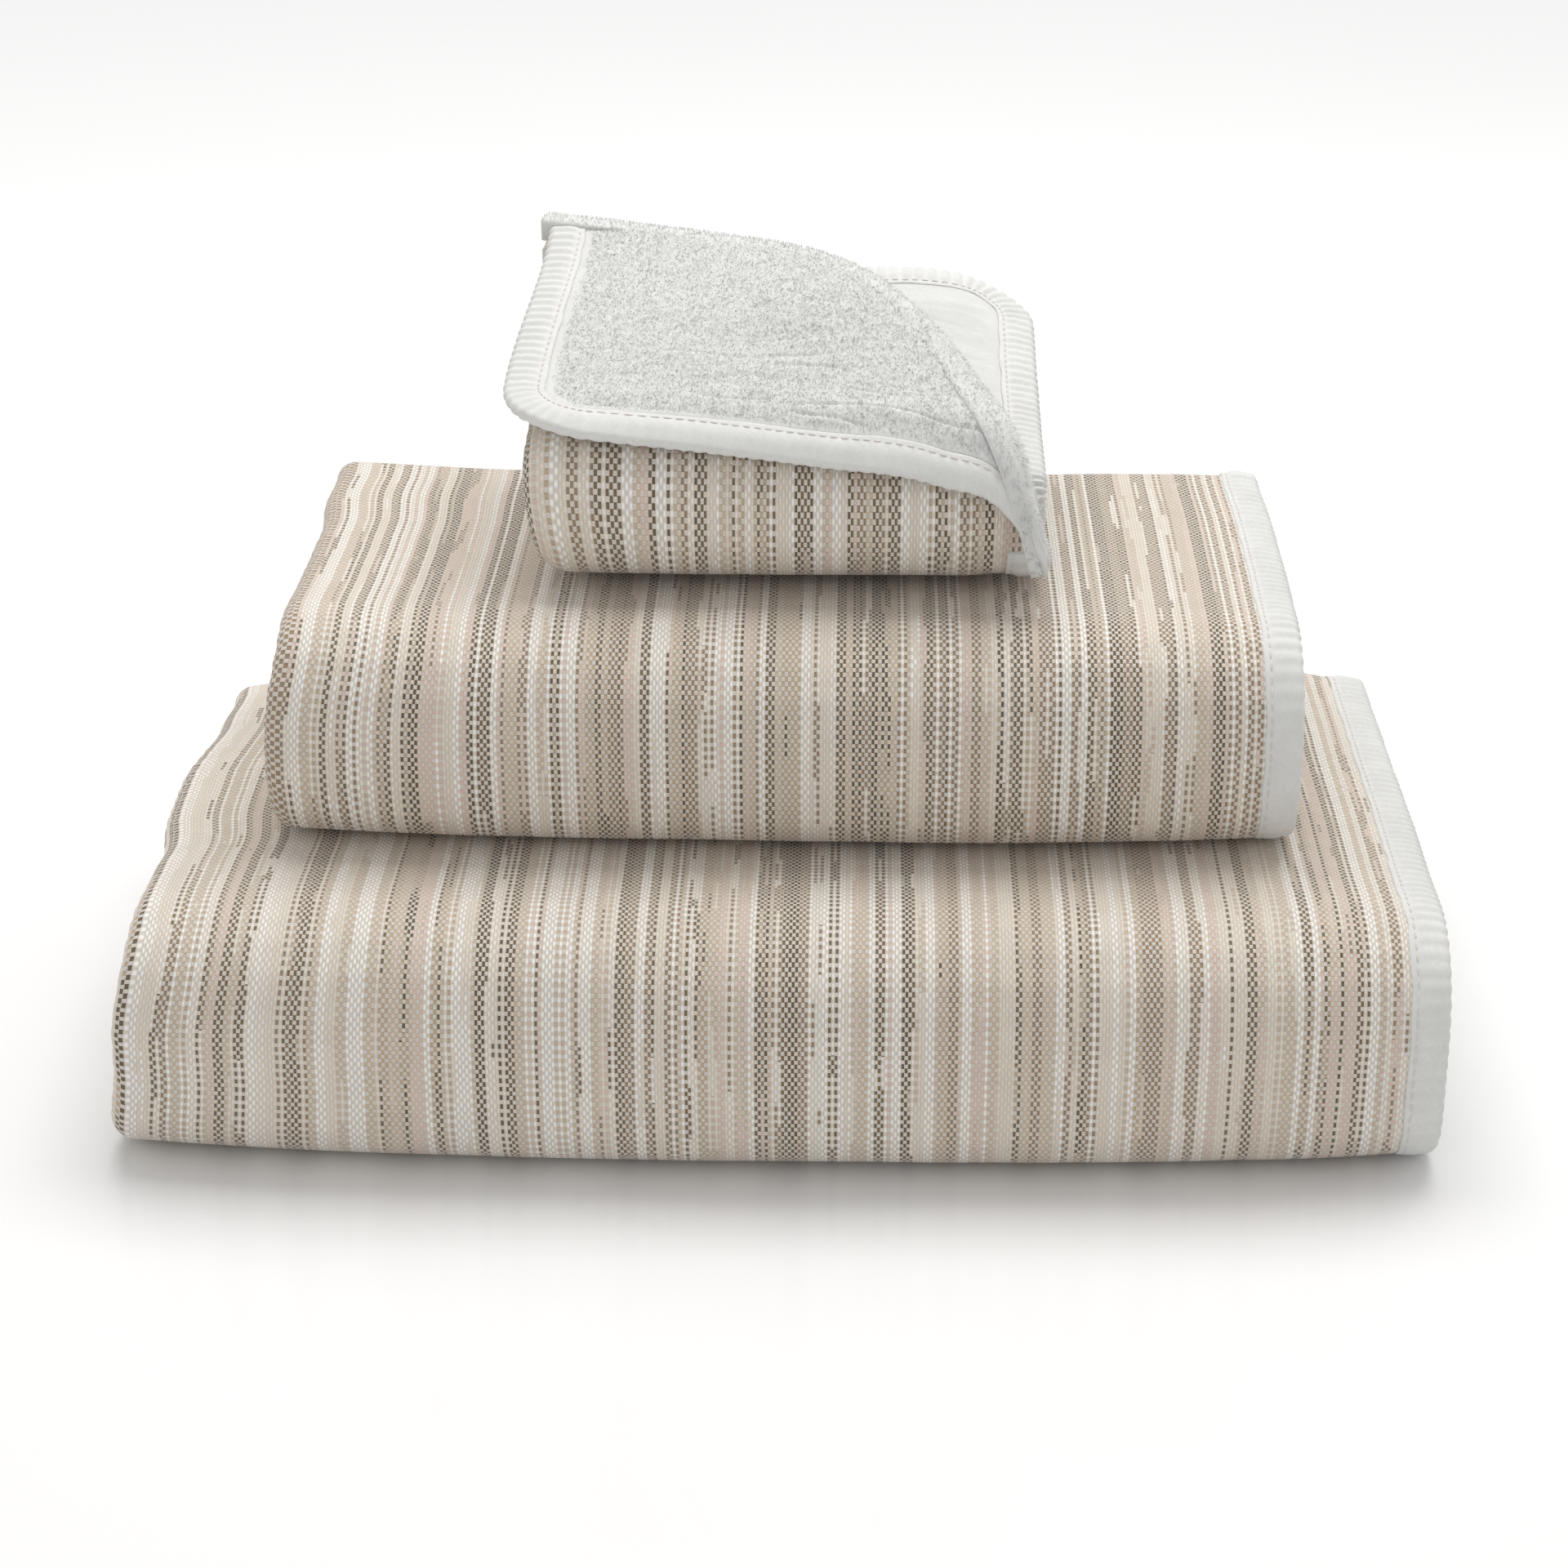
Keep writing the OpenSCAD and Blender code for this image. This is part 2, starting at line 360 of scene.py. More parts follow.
def make_edging(name, surface, route, band, amount, material, closed=True, seed=3):
    """Sweeps the tape's section along a route.

    surface(a, b, n) gives points, amount the rib height per row.
    """
    profile = edging_profile(band)
    d, n, ribs = profile.T
    along = np.roll(profile, -1, axis=0) - np.roll(profile, 1, axis=0)
    out = np.column_stack([-along[:, 1], along[:, 0]])
    out = out / np.maximum(np.linalg.norm(out, axis=1), 1e-9)[:, None]
    out[np.abs(d - EDGING_WIDTH) < 0.01] = 0
    if out[len(out) // 2, 0] > 0:
        out = -out
    run = route_length(route)
    rise = rib_height(run, 1.0, seed) * amount
    waver = 0.35 * wave_noise(run, 6.0, seed + 2)
    dd = d[None, :] + out[None, :, 0] * ribs * rise[:, None] + waver[:, None] * smooth(d, 6, 11)[None, :]
    nn = n[None, :] + out[None, :, 1] * ribs * rise[:, None]
    a = route[:, 0:1] + dd * route[:, 2:3]
    b = route[:, 1:2] + dd * route[:, 3:4]
    points = surface(a, b, nn)
    rows, cols = points.shape[:2]
    index = np.arange(rows * cols).reshape(rows, cols)
    ring = np.concatenate([index, index[:, :1]], axis=1)
    if closed:
        ring = np.concatenate([ring, ring[:1]], axis=0)
    quads = np.stack([ring[:-1, :-1], ring[:-1, 1:], ring[1:, 1:], ring[1:, :-1]], axis=-1).reshape(-1, 4)
    flat_points = points.reshape(-1, 3)
    tris = None
    if not closed:
        ends = flat_points[index[0]].mean(0), flat_points[index[-1]].mean(0)
        flat_points = np.vstack([flat_points, ends])
        tip = rows * cols
        first, last = ring[0], ring[-1]
        tris = np.vstack([
            np.column_stack([first[1:], first[:-1], np.full(cols, tip)]),
            np.column_stack([last[:-1], last[1:], np.full(cols, tip + 1)]),
        ])
    strips = 6
    reach = np.append(run, run[-1] + 1.0) if closed else run
    place_at = reach / (reach[-1] + 0.5) * strips
    lane = np.floor(place_at[:-1])
    x0, x1 = (place_at[:-1] - lane) * 0.96 + 0.01, (place_at[1:] - lane) * 0.96 + 0.01
    side = np.linspace(0.03, 0.97, cols + 1)
    y0 = (lane[:, None] + side[None, :-1]) / strips * 0.98
    y1 = (lane[:, None] + side[None, 1:]) / strips * 0.98
    x0, x1 = x0[:, None] + 0 * y0, x1[:, None] + 0 * y0
    corners = [np.stack(c, axis=-1) for c in ((x0, y0), (x0, y1), (x1, y1), (x1, y0))]
    bake = np.stack(corners, axis=2).reshape(-1, 4, 2)
    cloth = np.stack([np.repeat(run[:, None], cols, 1), np.repeat(np.cumsum(np.hypot(*np.diff(
        np.vstack([profile[:1, :2], profile[:, :2]]), axis=0).T))[None, :], rows, 0)], axis=-1) * MM
    cloth = cloth.reshape(-1, 2)
    if not closed:
        cloth = np.vstack([cloth, cloth[:1], cloth[-1:]])
    return make_mesh(name, flat_points, quads, {"Cloth": cloth}, [material], tris=tris, bake=bake)


def make_stitches(name, surface, route, band, material, both_sides=False, length=2.3, spacing=3.1):
    """Short rounded stitches along the tape, pressed a little into it."""
    run = route_length(route)
    starts = np.arange(1.0, run[-1] - length, spacing)
    sides = (1, -1) if both_sides else (1,)
    blocks, quads, tris = [], [], []
    rings = [(0.0, 0.45), (0.22, 1.0), (0.78, 1.0), (1.0, 0.45)]
    sides_round = 6
    total = 0
    for side in sides:
        ends = []
        for offset in (0.0, length):
            row = np.stack([np.interp(starts + offset, run, route[:, k]) for k in range(4)], axis=-1)
            a = row[:, 0] + STITCH_INSET * row[:, 2]
            b = row[:, 1] + STITCH_INSET * row[:, 3]
            ends.append((surface(a, b, side * (band + 0.34)), surface(a, b, side * (band + 1.34))))
        tail, head = ends[0][0], ends[1][0]
        up = ends[0][1] - ends[0][0]
        up = up / np.linalg.norm(up, axis=1)[:, None]
        way = head - tail
        cross = np.cross(way, up)
        cross = cross / np.maximum(np.linalg.norm(cross, axis=1), 1e-9)[:, None]
        count = len(starts)
        points = []
        for share, size in rings:
            for k in range(sides_round):
                b = 2 * math.pi * k / sides_round
                sag = -0.12 if share in (0.0, 1.0) else 0.05
                wide = cross * (0.30 * size * math.cos(b))
                tall = up * (0.24 * size * math.sin(b) + sag)
                points.append(tail + way * share + wide + tall)
        points += [tail - way * 0.05 - up * 0.2, head + way * 0.05 - up * 0.2]
        points = np.stack(points, axis=1)
        per = points.shape[1]
        base = np.arange(count)[:, None] * per + total
        for r in range(3):
            for k in range(sides_round):
                k2 = (k + 1) % sides_round
                quad = [r * 6 + k, r * 6 + k2, (r + 1) * 6 + k2, (r + 1) * 6 + k]
                quads.append(base + np.array(quad)[None, :])
        for k in range(sides_round):
            k2 = (k + 1) % sides_round
            tris.append(base + np.array([k2, k, 24])[None, :])
            tris.append(base + np.array([18 + k, 18 + k2, 25])[None, :])
        blocks.append(points.reshape(-1, 3))
        total += count * per
    points = np.vstack(blocks)
    maps = {"Cloth": np.zeros((len(points), 2))}
    return make_mesh(name, points, np.vstack(quads), maps, [material], tris=np.vstack(tris))


# ---- Shader nodes ------------------------------------------------------------------------------


class Graph:
    """A short way to add and join shader nodes."""

    def __init__(self, tree):
        self.tree = tree

    def add(self, kind, inputs=(), **settings):
        node = self.tree.nodes.new(kind)
        for key, value in settings.items():
            setattr(node, key, value)
        for key, value in dict(inputs).items():
            self.feed(node.inputs[key], value)
        return node

    def feed(self, socket, value):
        if isinstance(value, bpy.types.NodeSocket):
            self.tree.links.new(value, socket)
        else:
            socket.default_value = value

    def noise(self, vector, scale, detail, **settings):
        sockets = {"Vector": vector, "Scale": scale, "Detail": detail, **settings}
        return self.add("ShaderNodeTexNoise", sockets).outputs["Fac"]

    def chance(self, number):
        return self.add("ShaderNodeTexWhiteNoise", {"W": number}, noise_dimensions="1D").outputs["Value"]

    def scaled(self, vector, factor):
        return self.add("ShaderNodeVectorMath", {0: vector, 1: factor}, operation="MULTIPLY").outputs[0]

    def math(self, operation, a, b=0.0, c=0.0):
        node = self.add("ShaderNodeMath", {0: a, 1: b, 2: c}, operation=operation)
        return node.outputs[0]

    def mix(self, share, a, b, blend="MIX"):
        node = self.add("ShaderNodeMix", data_type="RGBA", blend_type=blend)
        self.feed(node.inputs["Factor"], share)
        self.feed(node.inputs["A"], a)
        self.feed(node.inputs["B"], b)
        return node.outputs["Result"]

    def ramp(self, value, stops, interpolation="LINEAR"):
        node = self.add("ShaderNodeValToRGB", {"Fac": value})
        ramp = node.color_ramp
        ramp.interpolation = interpolation
        while len(ramp.elements) < len(stops):
            ramp.elements.new(0.5)
        for element, (at, colour) in zip(ramp.elements, stops):
            element.position = at
            element.color = (*colour, 1)
        return node.outputs["Color"]


def new_group(name, inputs, outputs):
    """An empty node group with named inputs and outputs; returns the group, its graph and its input node."""
    tree = bpy.data.node_groups.new(name, "ShaderNodeTree")
    for socket_name, kind, value in inputs:
        socket = tree.interface.new_socket(socket_name, in_out="INPUT", socket_type=kind)
        if value is not None:
            socket.default_value = value
    for socket_name, kind in outputs:
        tree.interface.new_socket(socket_name, in_out="OUTPUT", socket_type=kind)
    graph = Graph(tree)
    return tree, graph, graph.add("NodeGroupInput").outputs, graph.add("NodeGroupOutput").inputs


def thread_weave_group():
    """Plain weave seen thread by thread: which warp thread, where it lies on top, and its height."""
    tree, g, given, out = new_group(
        "Thread weave",
        [("Cloth", "NodeSocketVector", None), ("Warp pitch", "NodeSocketFloat", 0.00089),
         ("Pick pitch", "NodeSocketFloat", 0.0011), ("Unevenness", "NodeSocketFloat", 0.2)],
        [("Thread", "NodeSocketFloat"), ("Warp on top", "NodeSocketFloat"), ("Height", "NodeSocketFloat")],
    )
    wander = g.noise(given["Cloth"], 260.0, 1.0)
    wander = g.math("MULTIPLY", g.math("SUBTRACT", wander, 0.5), given["Unevenness"])
    split = g.add("ShaderNodeSeparateXYZ", {0: given["Cloth"]}).outputs
    column = g.math("ADD", g.math("DIVIDE", split["X"], given["Warp pitch"]), wander)
    row = g.math("ADD", g.math("DIVIDE", split["Y"], given["Pick pitch"]), wander)
    thread = g.math("FLOOR", column)
    across_thread = g.math("ABSOLUTE", g.math("SUBTRACT", g.math("FRACT", column), 0.5))
    fall = g.math("MULTIPLY_ADD", g.math("POWER", across_thread, 2.0), -3.6, 1.0)
    round_warp = g.math("SQRT", g.math("MAXIMUM", fall, 0.0))
    phase = g.math("MULTIPLY", g.math("ADD", row, thread), math.pi)
    over = g.math("MULTIPLY_ADD", g.math("COSINE", phase), 0.5, 0.5)
    share_range = {"Value": over, "From Min": 0.30, "From Max": 0.46}
    share = g.add("ShaderNodeMapRange", share_range, clamp=True).outputs[0]
    edge_range = {"Value": across_thread, "From Min": 0.47, "From Max": 0.38}
    edge = g.add("ShaderNodeMapRange", edge_range, clamp=True)
    on_top = g.math("MULTIPLY", share, edge.outputs[0])
    height = g.math("MULTIPLY", round_warp, g.math("MULTIPLY_ADD", over, 0.75, 0.25))
    g.feed(out["Thread"], thread)
    g.feed(out["Warp on top"], on_top)
    g.feed(out["Height"], height)
    return tree


def fibre_fuzz_group():
    """Fine cotton fibres: a colour share and a height, from metre positions."""
    tree, g, given, out = new_group(
        "Fibre fuzz",
        [("Position", "NodeSocketVector", None), ("Fibre size", "NodeSocketFloat", 0.0006),
         ("Stretch", "NodeSocketFloat", 3.0)],
        [("Shade", "NodeSocketFloat"), ("Height", "NodeSocketFloat")],
    )
    rate = g.math("DIVIDE", 1.0, given["Fibre size"])
    long_way = g.math("DIVIDE", rate, given["Stretch"])
    size = g.add("ShaderNodeCombineXYZ", {0: rate, 1: long_way, 2: rate}).outputs[0]
    place_in = g.scaled(given["Position"], size)
    fine = g.noise(place_in, 1.0, 3.0, Roughness=0.65)
    broad = g.noise(g.scaled(given["Position"], (140.0, 140.0, 140.0)), 1.0, 2.0)
    g.feed(out["Shade"], g.math("MULTIPLY_ADD", broad, 0.45, g.math("MULTIPLY", fine, 0.55)))
    g.feed(out["Height"], fine)
    return tree


def new_material(name):
    material = bpy.data.materials.new(name)
    material.use_nodes = True
    graph = Graph(material.node_tree)
    shader = material.node_tree.nodes["Principled BSDF"]
    return material, graph, shader


def cloth_map(graph):
    return graph.add("ShaderNodeUVMap", uv_map="Cloth").outputs["UV"]


def bump(graph, shader, height, strength, distance):
    node = graph.add("ShaderNodeBump", {"Height": height, "Strength": strength, "Distance": distance})
    graph.feed(shader.inputs["Normal"], node.outputs["Normal"])


def group_node(graph, tree, inputs):
    node = graph.add("ShaderNodeGroup")
    node.node_tree = tree
    for key, value in inputs.items():
        graph.feed(node.inputs[key], value)
    return node.outputs


WARP_COLOURS = [
    (0.00, (0.90, 0.86, 0.80)), (0.17, (0.78, 0.69, 0.57)), (0.30, (0.58, 0.46, 0.34)),
    (0.42, (0.68, 0.51, 0.42)), (0.50, (0.32, 0.23, 0.15)), (0.63, (0.84, 0.77, 0.68)),
    (0.72, (0.20, 0.145, 0.085)), (0.83, (0.50, 0.39, 0.27)), (0.91, (0.15, 0.11, 0.065)),
]


def striped_cloth_material(weave, fuzz, name, shift):
    """Flat woven cloth: space-dyed warp stripes crossed by a pale weft, with painted shade in the weave's
    hollows.
    """
    material, g, shader = new_material(name)
    uv = cloth_map(g)
    yarns = {"Cloth": uv, "Warp pitch": 0.00089, "Pick pitch": 0.0011, "Unevenness": 0.22}
    threads = group_node(g, weave, yarns)
    number = g.math("ADD", threads["Thread"], shift)
    band_at = {"W": g.math("MULTIPLY", number, 0.36), "Scale": 1.0}
    bands = g.add("ShaderNodeTexVoronoi", band_at, voronoi_dimensions="1D")
    band_pick = g.add("ShaderNodeSeparateColor", {0: bands.outputs["Color"]}).outputs[0]
    one = g.chance(number)
    stray = g.math("GREATER_THAN", one, 0.80)
    other = g.chance(g.math("ADD", number, 0.5))
    choice = {"Factor": stray, "A": band_pick, "B": other}
    pick = g.add("ShaderNodeMix", choice, data_type="FLOAT").outputs[0]
    down = g.add("ShaderNodeSeparateXYZ", {0: uv}).outputs["Y"]
    dye_place = {0: g.math("MULTIPLY", number, 0.9), 1: g.math("MULTIPLY", down, 26.0)}
    dye = g.noise(g.add("ShaderNodeCombineXYZ", dye_place).outputs[0], 1.0, 1.0)
    pick = g.math("MULTIPLY_ADD", g.math("SUBTRACT", dye, 0.5), 0.16, pick)
    warp = g.ramp(g.math("MAXIMUM", pick, 0.0), WARP_COLOURS, "CONSTANT")
    weft = (0.86, 0.80, 0.72, 1)
    colour = g.mix(threads["Warp on top"], weft, warp)
    fibres = group_node(g, fuzz, {"Position": uv, "Fibre size": 0.0002, "Stretch": 2.0})
    shade = g.math("MULTIPLY_ADD", fibres["Shade"], 0.34, 0.83)
    # Painted shade: the colour is darkened where the weave dips, between and under the threads.
    hollow_shade = g.math("MULTIPLY_ADD", threads["Height"], 0.42, 0.66)
    tone_and_hollow_shade = g.math("MULTIPLY", shade, hollow_shade)
    grey_tone_and_shade = g.add("ShaderNodeCombineColor", {0: tone_and_hollow_shade, 1: tone_and_hollow_shade, 2: tone_and_hollow_shade}).outputs[0]
    # The base colour is the stripe colour times the random fibre tone and the painted shade of the weave's
    # hollows.
    g.feed(shader.inputs["Base Color"], g.mix(1.0, colour, grey_tone_and_shade, "MULTIPLY"))
    shader.inputs["Roughness"].default_value = 0.86
    shader.inputs["Specular IOR Level"].default_value = 0.25
    shader.inputs["Sheen Weight"].default_value = 0.35
    shader.inputs["Sheen Roughness"].default_value = 0.45
    shader.inputs["Sheen Tint"].default_value = (1.0, 0.95, 0.93, 1)
    bump(g, shader, threads["Height"], 0.75, 0.00035)
    return material


def pile_material(fuzz, name, tint):
    """White terry loops: soft, short and a little uneven."""
    material, g, shader = new_material(name)
    spot = g.add("ShaderNodeTexCoord").outputs["Object"]
    fibres = group_node(g, fuzz, {"Position": spot, "Fibre size": 0.00045, "Stretch": 2.2})
    colour = g.ramp(fibres["Shade"], [(0.30, tuple(c * 0.90 for c in tint)), (0.62, tint)])
    g.feed(shader.inputs["Base Color"], colour)
    shader.inputs["Roughness"].default_value = 0.95
    shader.inputs["Specular IOR Level"].default_value = 0.12
    shader.inputs["Sheen Weight"].default_value = 0.4
    shader.inputs["Sheen Roughness"].default_value = 0.55
    shader.inputs["Subsurface Weight"].default_value = 0.75
    shader.inputs["Subsurface Radius"].default_value = (1.0, 1.0, 0.95)
    shader.inputs["Subsurface Scale"].default_value = 0.0016
    bump(g, shader, fibres["Height"], 0.45, 0.0004)
    return material


def edging_material(weave, fuzz):
    """White cotton tape, closely woven."""
    material, g, shader = new_material("Edge tape")
    uv = cloth_map(g)
    yarns = {"Cloth": uv, "Warp pitch": 0.00045, "Pick pitch": 0.00045, "Unevenness": 0.3}
    threads = group_node(g, weave, yarns)
    fibres = group_node(g, fuzz, {"Position": uv, "Fibre size": 0.0012, "Stretch": 1.0})
    colour = g.ramp(fibres["Shade"], [(0.3, (0.66, 0.66, 0.64)), (0.65, (0.74, 0.74, 0.72))])
    g.feed(shader.inputs["Base Color"], colour)
    shader.inputs["Roughness"].default_value = 0.8
    shader.inputs["Specular IOR Level"].default_value = 0.3
    shader.inputs["Sheen Weight"].default_value = 0.3
    bump(g, shader, threads["Height"], 0.35, 0.00012)
    return material


def stitch_material(fuzz):
    """Cotton sewing thread."""
    material, g, shader = new_material("Stitching thread")
    spot = g.add("ShaderNodeTexCoord").outputs["Object"]
    fibres = group_node(g, fuzz, {"Position": spot, "Fibre size": 0.0003})
    colour = g.ramp(fibres["Shade"], [(0.3, (0.62, 0.58, 0.53)), (0.7, (0.78, 0.75, 0.71))])
    g.feed(shader.inputs["Base Color"], colour)
    shader.inputs["Roughness"].default_value = 0.7
    return material


def floor_material():
    """Glossy white table top, with painted light: it glows more the farther it lies from the middle."""
    material, g, shader = new_material("White table top")
    spot = g.add("ShaderNodeTexCoord").outputs["Object"]
    whites = [(0.3, (0.93, 0.93, 0.93)), (0.7, (0.95, 0.95, 0.95))]
    g.feed(shader.inputs["Base Color"], g.ramp(g.noise(spot, 2.0, 2.0), whites))
    # Painted light: emission that grows with distance from the middle, so the far floor shows white.
    away = g.add("ShaderNodeVectorMath", {0: spot}, operation="LENGTH").outputs["Value"]
    levels = [(0.10, (0, 0, 0)), (0.30, (0.16, 0.16, 0.16)), (1.0, (0.5, 0.5, 0.5))]
    painted_glow = g.ramp(g.math("MULTIPLY", away, 0.3), levels)
    g.feed(shader.inputs["Emission Color"], painted_glow)
    shader.inputs["Emission Strength"].default_value = 1.0
    shader.inputs["Roughness"].default_value = 0.14
    shader.inputs["Specular IOR Level"].default_value = 0.5
    return material


weave_group = thread_weave_group()
fuzz_group = fibre_fuzz_group()
BATH_CLOTH = striped_cloth_material(weave_group, fuzz_group, "Striped cloth bath", 11.0)
HAND_CLOTH = striped_cloth_material(weave_group, fuzz_group, "Striped cloth hand", 541.0)
WASH_CLOTH = striped_cloth_material(weave_group, fuzz_group, "Striped cloth washcloth", 903.0)
PILE = pile_material(fuzz_group, "Terry pile", (0.69, 0.695, 0.675))
EDGING = edging_material(weave_group, fuzz_group)
STITCHING = stitch_material(fuzz_group)


# ---- Cloth towels ------------------------------------------------------------------------------


def box_mm(*nodes):
    """The joint box of CAD nodes, in millimetres."""
    lows, highs = zip(*(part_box(node) for node in nodes))
    return np.min([tuple(v) for v in lows], axis=0) / MM, np.max([tuple(v) for v in highs], axis=0) / MM


def stack_samples(marks, fine, fine_step, coarse_step):
    """Lengths along the folded path: close together on the legs that show, wider elsewhere."""
    values, weights = [], []
    for leg in range(1, len(marks)):
        start, end = marks[leg - 1], marks[leg]
        shows = leg in fine
        step = fine_step if shows else coarse_step
        if end - start < 70 and not shows:
            step = min(coarse_step, 3.2)
        count = max(4, int(round((end - start) / step)))
        values.append(np.linspace(start, end, count, endpoint=False))
        weights.append(np.full(count, 4.0 if shows else 1.0))
    values.append([marks[-1]])
    weights.append([1.0])
    return np.concatenate(values), np.concatenate(weights)


def width_samples(towel, open_step, hidden_step, edge_step=1.3):
    """Distances across the flat cloth: the upper layer, the side fold and the lower layer."""
    run = towel["width"] - towel["pitch"]
    turn = math.pi * towel["pitch"] / 2
    wide = flat_width(towel)
    edge = 17.0
    parts = [
        np.arange(0, edge, edge_step), np.arange(edge, run - open_step / 2, open_step),
        np.linspace(run, run + turn, 15), np.arange(run + turn + hidden_step, wide - edge, hidden_step),
        np.arange(wide - edge + 0.5, wide, edge_step * 1.6), [wide],
    ]
    values = np.concatenate(parts)
    weights = np.where(values < run + turn, 3.0, 1.0)
    return values, weights


def cloth_heights(towel, u, s, d):
    """Woven and pile side of the cloth, measured from the layer's middle."""
    full = towel["full"]
    band = towel["band"]
    loose = smooth(d, 10.0, 30.0)
    woven = band + (full - band) * loose
    flat = np.stack([u.ravel(), s.ravel()], axis=-1)
    swell = soft_noise(flat, 34.0, towel["seed"]).reshape(u.shape)
    fine = soft_noise(flat, 11.0, towel["seed"] + 5).reshape(u.shape)
    woven = woven + loose * (0.45 * swell + 0.16 * fine)
    gather = np.sin(2 * math.pi * (s + 2.2 * wave_noise(s, 19.0, towel["seed"] + 8)) / 7.5)
    uneven = 0.6 + 0.6 * wave_noise(s, 31.0, towel["seed"] + 9)
    woven = woven + 0.38 * gather * uneven * smooth(d, 9.0, 12.5) * (1 - smooth(d, 14.0, 30.0))
    under = smooth(d, 11.3, 10.2)
    woven = woven * (1 - under) + (band - 0.7) * under
    pile = -(band - 0.7) * under - (1 - under) * (band + (towel["lining"] - band) * loose)
    return woven, pile


def make_cloth(name, towel, rows, row_weight, cols, col_weight, materials, bend_rows=None):
    s, u = np.meshgrid(rows, cols, indexing="ij")
    wide, long = flat_width(towel), flat_length(towel)
    if bend_rows is not None:
        s = bend_rows(u, s)
    u, s = keep_in_corners(u, s, wide, long, 1.8)
    d = edge_distance(u, s, wide, long)
    woven, pile = cloth_heights(towel, u, s, d)
    if "relief" in towel:
        pile = pile - towel["relief"](u, s, d)
    outer = place(towel, u, s, woven)
    inner = place(towel, u, s, pile)
    cloth_uv = np.stack([u, s], axis=-1)
    row_room, col_room = spaced(rows, row_weight), spaced(cols, col_weight)
    return two_sided_sheet(name, outer, inner, cloth_uv, row_room, col_room, materials)


def outer_share(marks, s):
    """1 on the outermost front fold and the top, 0 on the layers that lie inside."""
    return smooth(s, marks[3] + 2, marks[3] + 20) * (1 - smooth(s, marks[5] + 2, marks[5] + 9))


def rib_share(towel, route):
    """Ribs stand up on the flat stretches and fade where the tape goes round the front fold."""
    marks = towel["marks"]
    s = route[:, 1]
    on_front = smooth(s, marks[3] - 6, marks[3] + 14) * (1 - smooth(s, marks[4] - 26, marks[4] + 10))
    return 0.95 * (1 - 0.72 * on_front)


def stacked_settle(width, depth, height, seed, shape):
    """How a folded stack gives: its side fold bulges, its front ends stand back and its free top sags."""

    def settle(points, u, s):
        x, y, z = points[..., 0], points[..., 1], points[..., 2]
        x = x * shape["spread"]
        round_y, round_z = height / 2 - depth / 2 - y, z - height / 2
        reach = np.hypot(round_y, round_z)
        lean = np.abs(round_z) / np.maximum(reach, 1e-6)
        power = np.where(round_z < 0, 3.6, 2.5)
        square = (lean**power + np.sqrt(np.maximum(1 - lean**2, 0)) ** power) ** (-1 / power)
        fuller = 1 + (square - 1) * smooth(reach, 0.25 * height, 0.48 * height) * (round_y > 0)
        y = np.where(round_y > 0, height / 2 - depth / 2 - round_y * fuller, y)
        z = np.where(round_y > 0, height / 2 + round_z * fuller, z)
        up = np.clip(z / height, 0, 1)
        side = np.clip(x / (width / 2), -1, 1)
        left = smooth(-side, 0.45, 1.0)
        right = smooth(side, 0.55, 1.0)
        fore = smooth(-y / (depth / 2), -0.1, 0.9)
        aft = smooth(y / (depth / 2), 0.1, 0.95)
        belly = np.sin(math.pi * np.clip(up, 0, 1))
        lump = 3.0 * wave_noise(s, 52.0, seed) + 1.5 * wave_noise(s, 19.0, seed + 1)
        x = x - left * (shape["bulge"] * (1.15 - up) + lump + 2.0 * belly)
        lower_side = (u > width).astype(float)
        uneven = 1.1 * wave_noise(s + 400 * lower_side, 40.0, seed + 2)
        x = x + right * (uneven - 1.2 * (1 - outer_share(shape["marks"], s)))
        y = y + fore * shape["stand_back"] * np.abs(side) ** 3.0
        dents = soft_noise(np.stack([x.ravel(), z.ravel()], -1), 60.0, seed + 3).reshape(x.shape)
        y = y - fore * 1.6 * belly * dents
        outside = smooth(np.abs(x - shape["pressed_x"]), shape["pressed_half"] - 6, width / 2 + 4)
        ahead = smooth(shape["pressed_y"] - y, 0, 40)
        sag = shape["sag_left"] * left * (0.35 + 0.65 * aft) + shape["sag_right"] * right
        swell = soft_noise(np.stack([x.ravel(), y.ravel()], -1), 55.0, seed + 4).reshape(x.shape)
        z = z - up * (outside * sag + shape["sag_back"] * aft * outside)
        z = z + up * np.maximum(outside, ahead) * 0.9 * swell
        return np.stack([x, y, z], axis=-1)

    return settle


def stacked_towel(low, high, seed, shape, band):
    """The path, sizes and settling of a towel folded in half, in half again and in thirds."""
    width, depth, height = high[0] - low[0], high[1] - low[1], high[2] - low[2] + 0.4
    pitch = height / LAYERS
    front, back = 6 * pitch - depth / 2, depth / 2 - 4 * pitch
    top_back, inner_end = depth / 2 - 2 * pitch - 1 - shape["top_short"], 6 * pitch - depth / 2 + 2
    legs = [
        ("run", back - inner_end), ("over", 3 * pitch, math.pi), ("run", back - front),
        ("over", 5 * pitch, math.pi), ("run", top_back - front), ("over", pitch, math.pi),
        ("run", top_back - front), ("under", 3 * pitch, math.pi), ("run", back - front),
        ("under", pitch, math.pi), ("run", back - inner_end),
    ]
    path, marks = fold_path(inner_end, 7 * pitch, 0.0, legs)
    shape = dict(shape, marks=marks)
    return {
        "width": width, "pitch": pitch, "path": path, "marks": marks, "seed": seed, "band": band,
        "full": pitch / 2 - LAYER_AIR / 2, "lining": pitch / 2 - PILE_GAP,
        "centre": np.array([(low[0] + high[0]) / 2, (low[1] + high[1]) / 2, low[2] - 0.2]),
        "settle": stacked_settle(width, depth, height, seed, shape),
    }


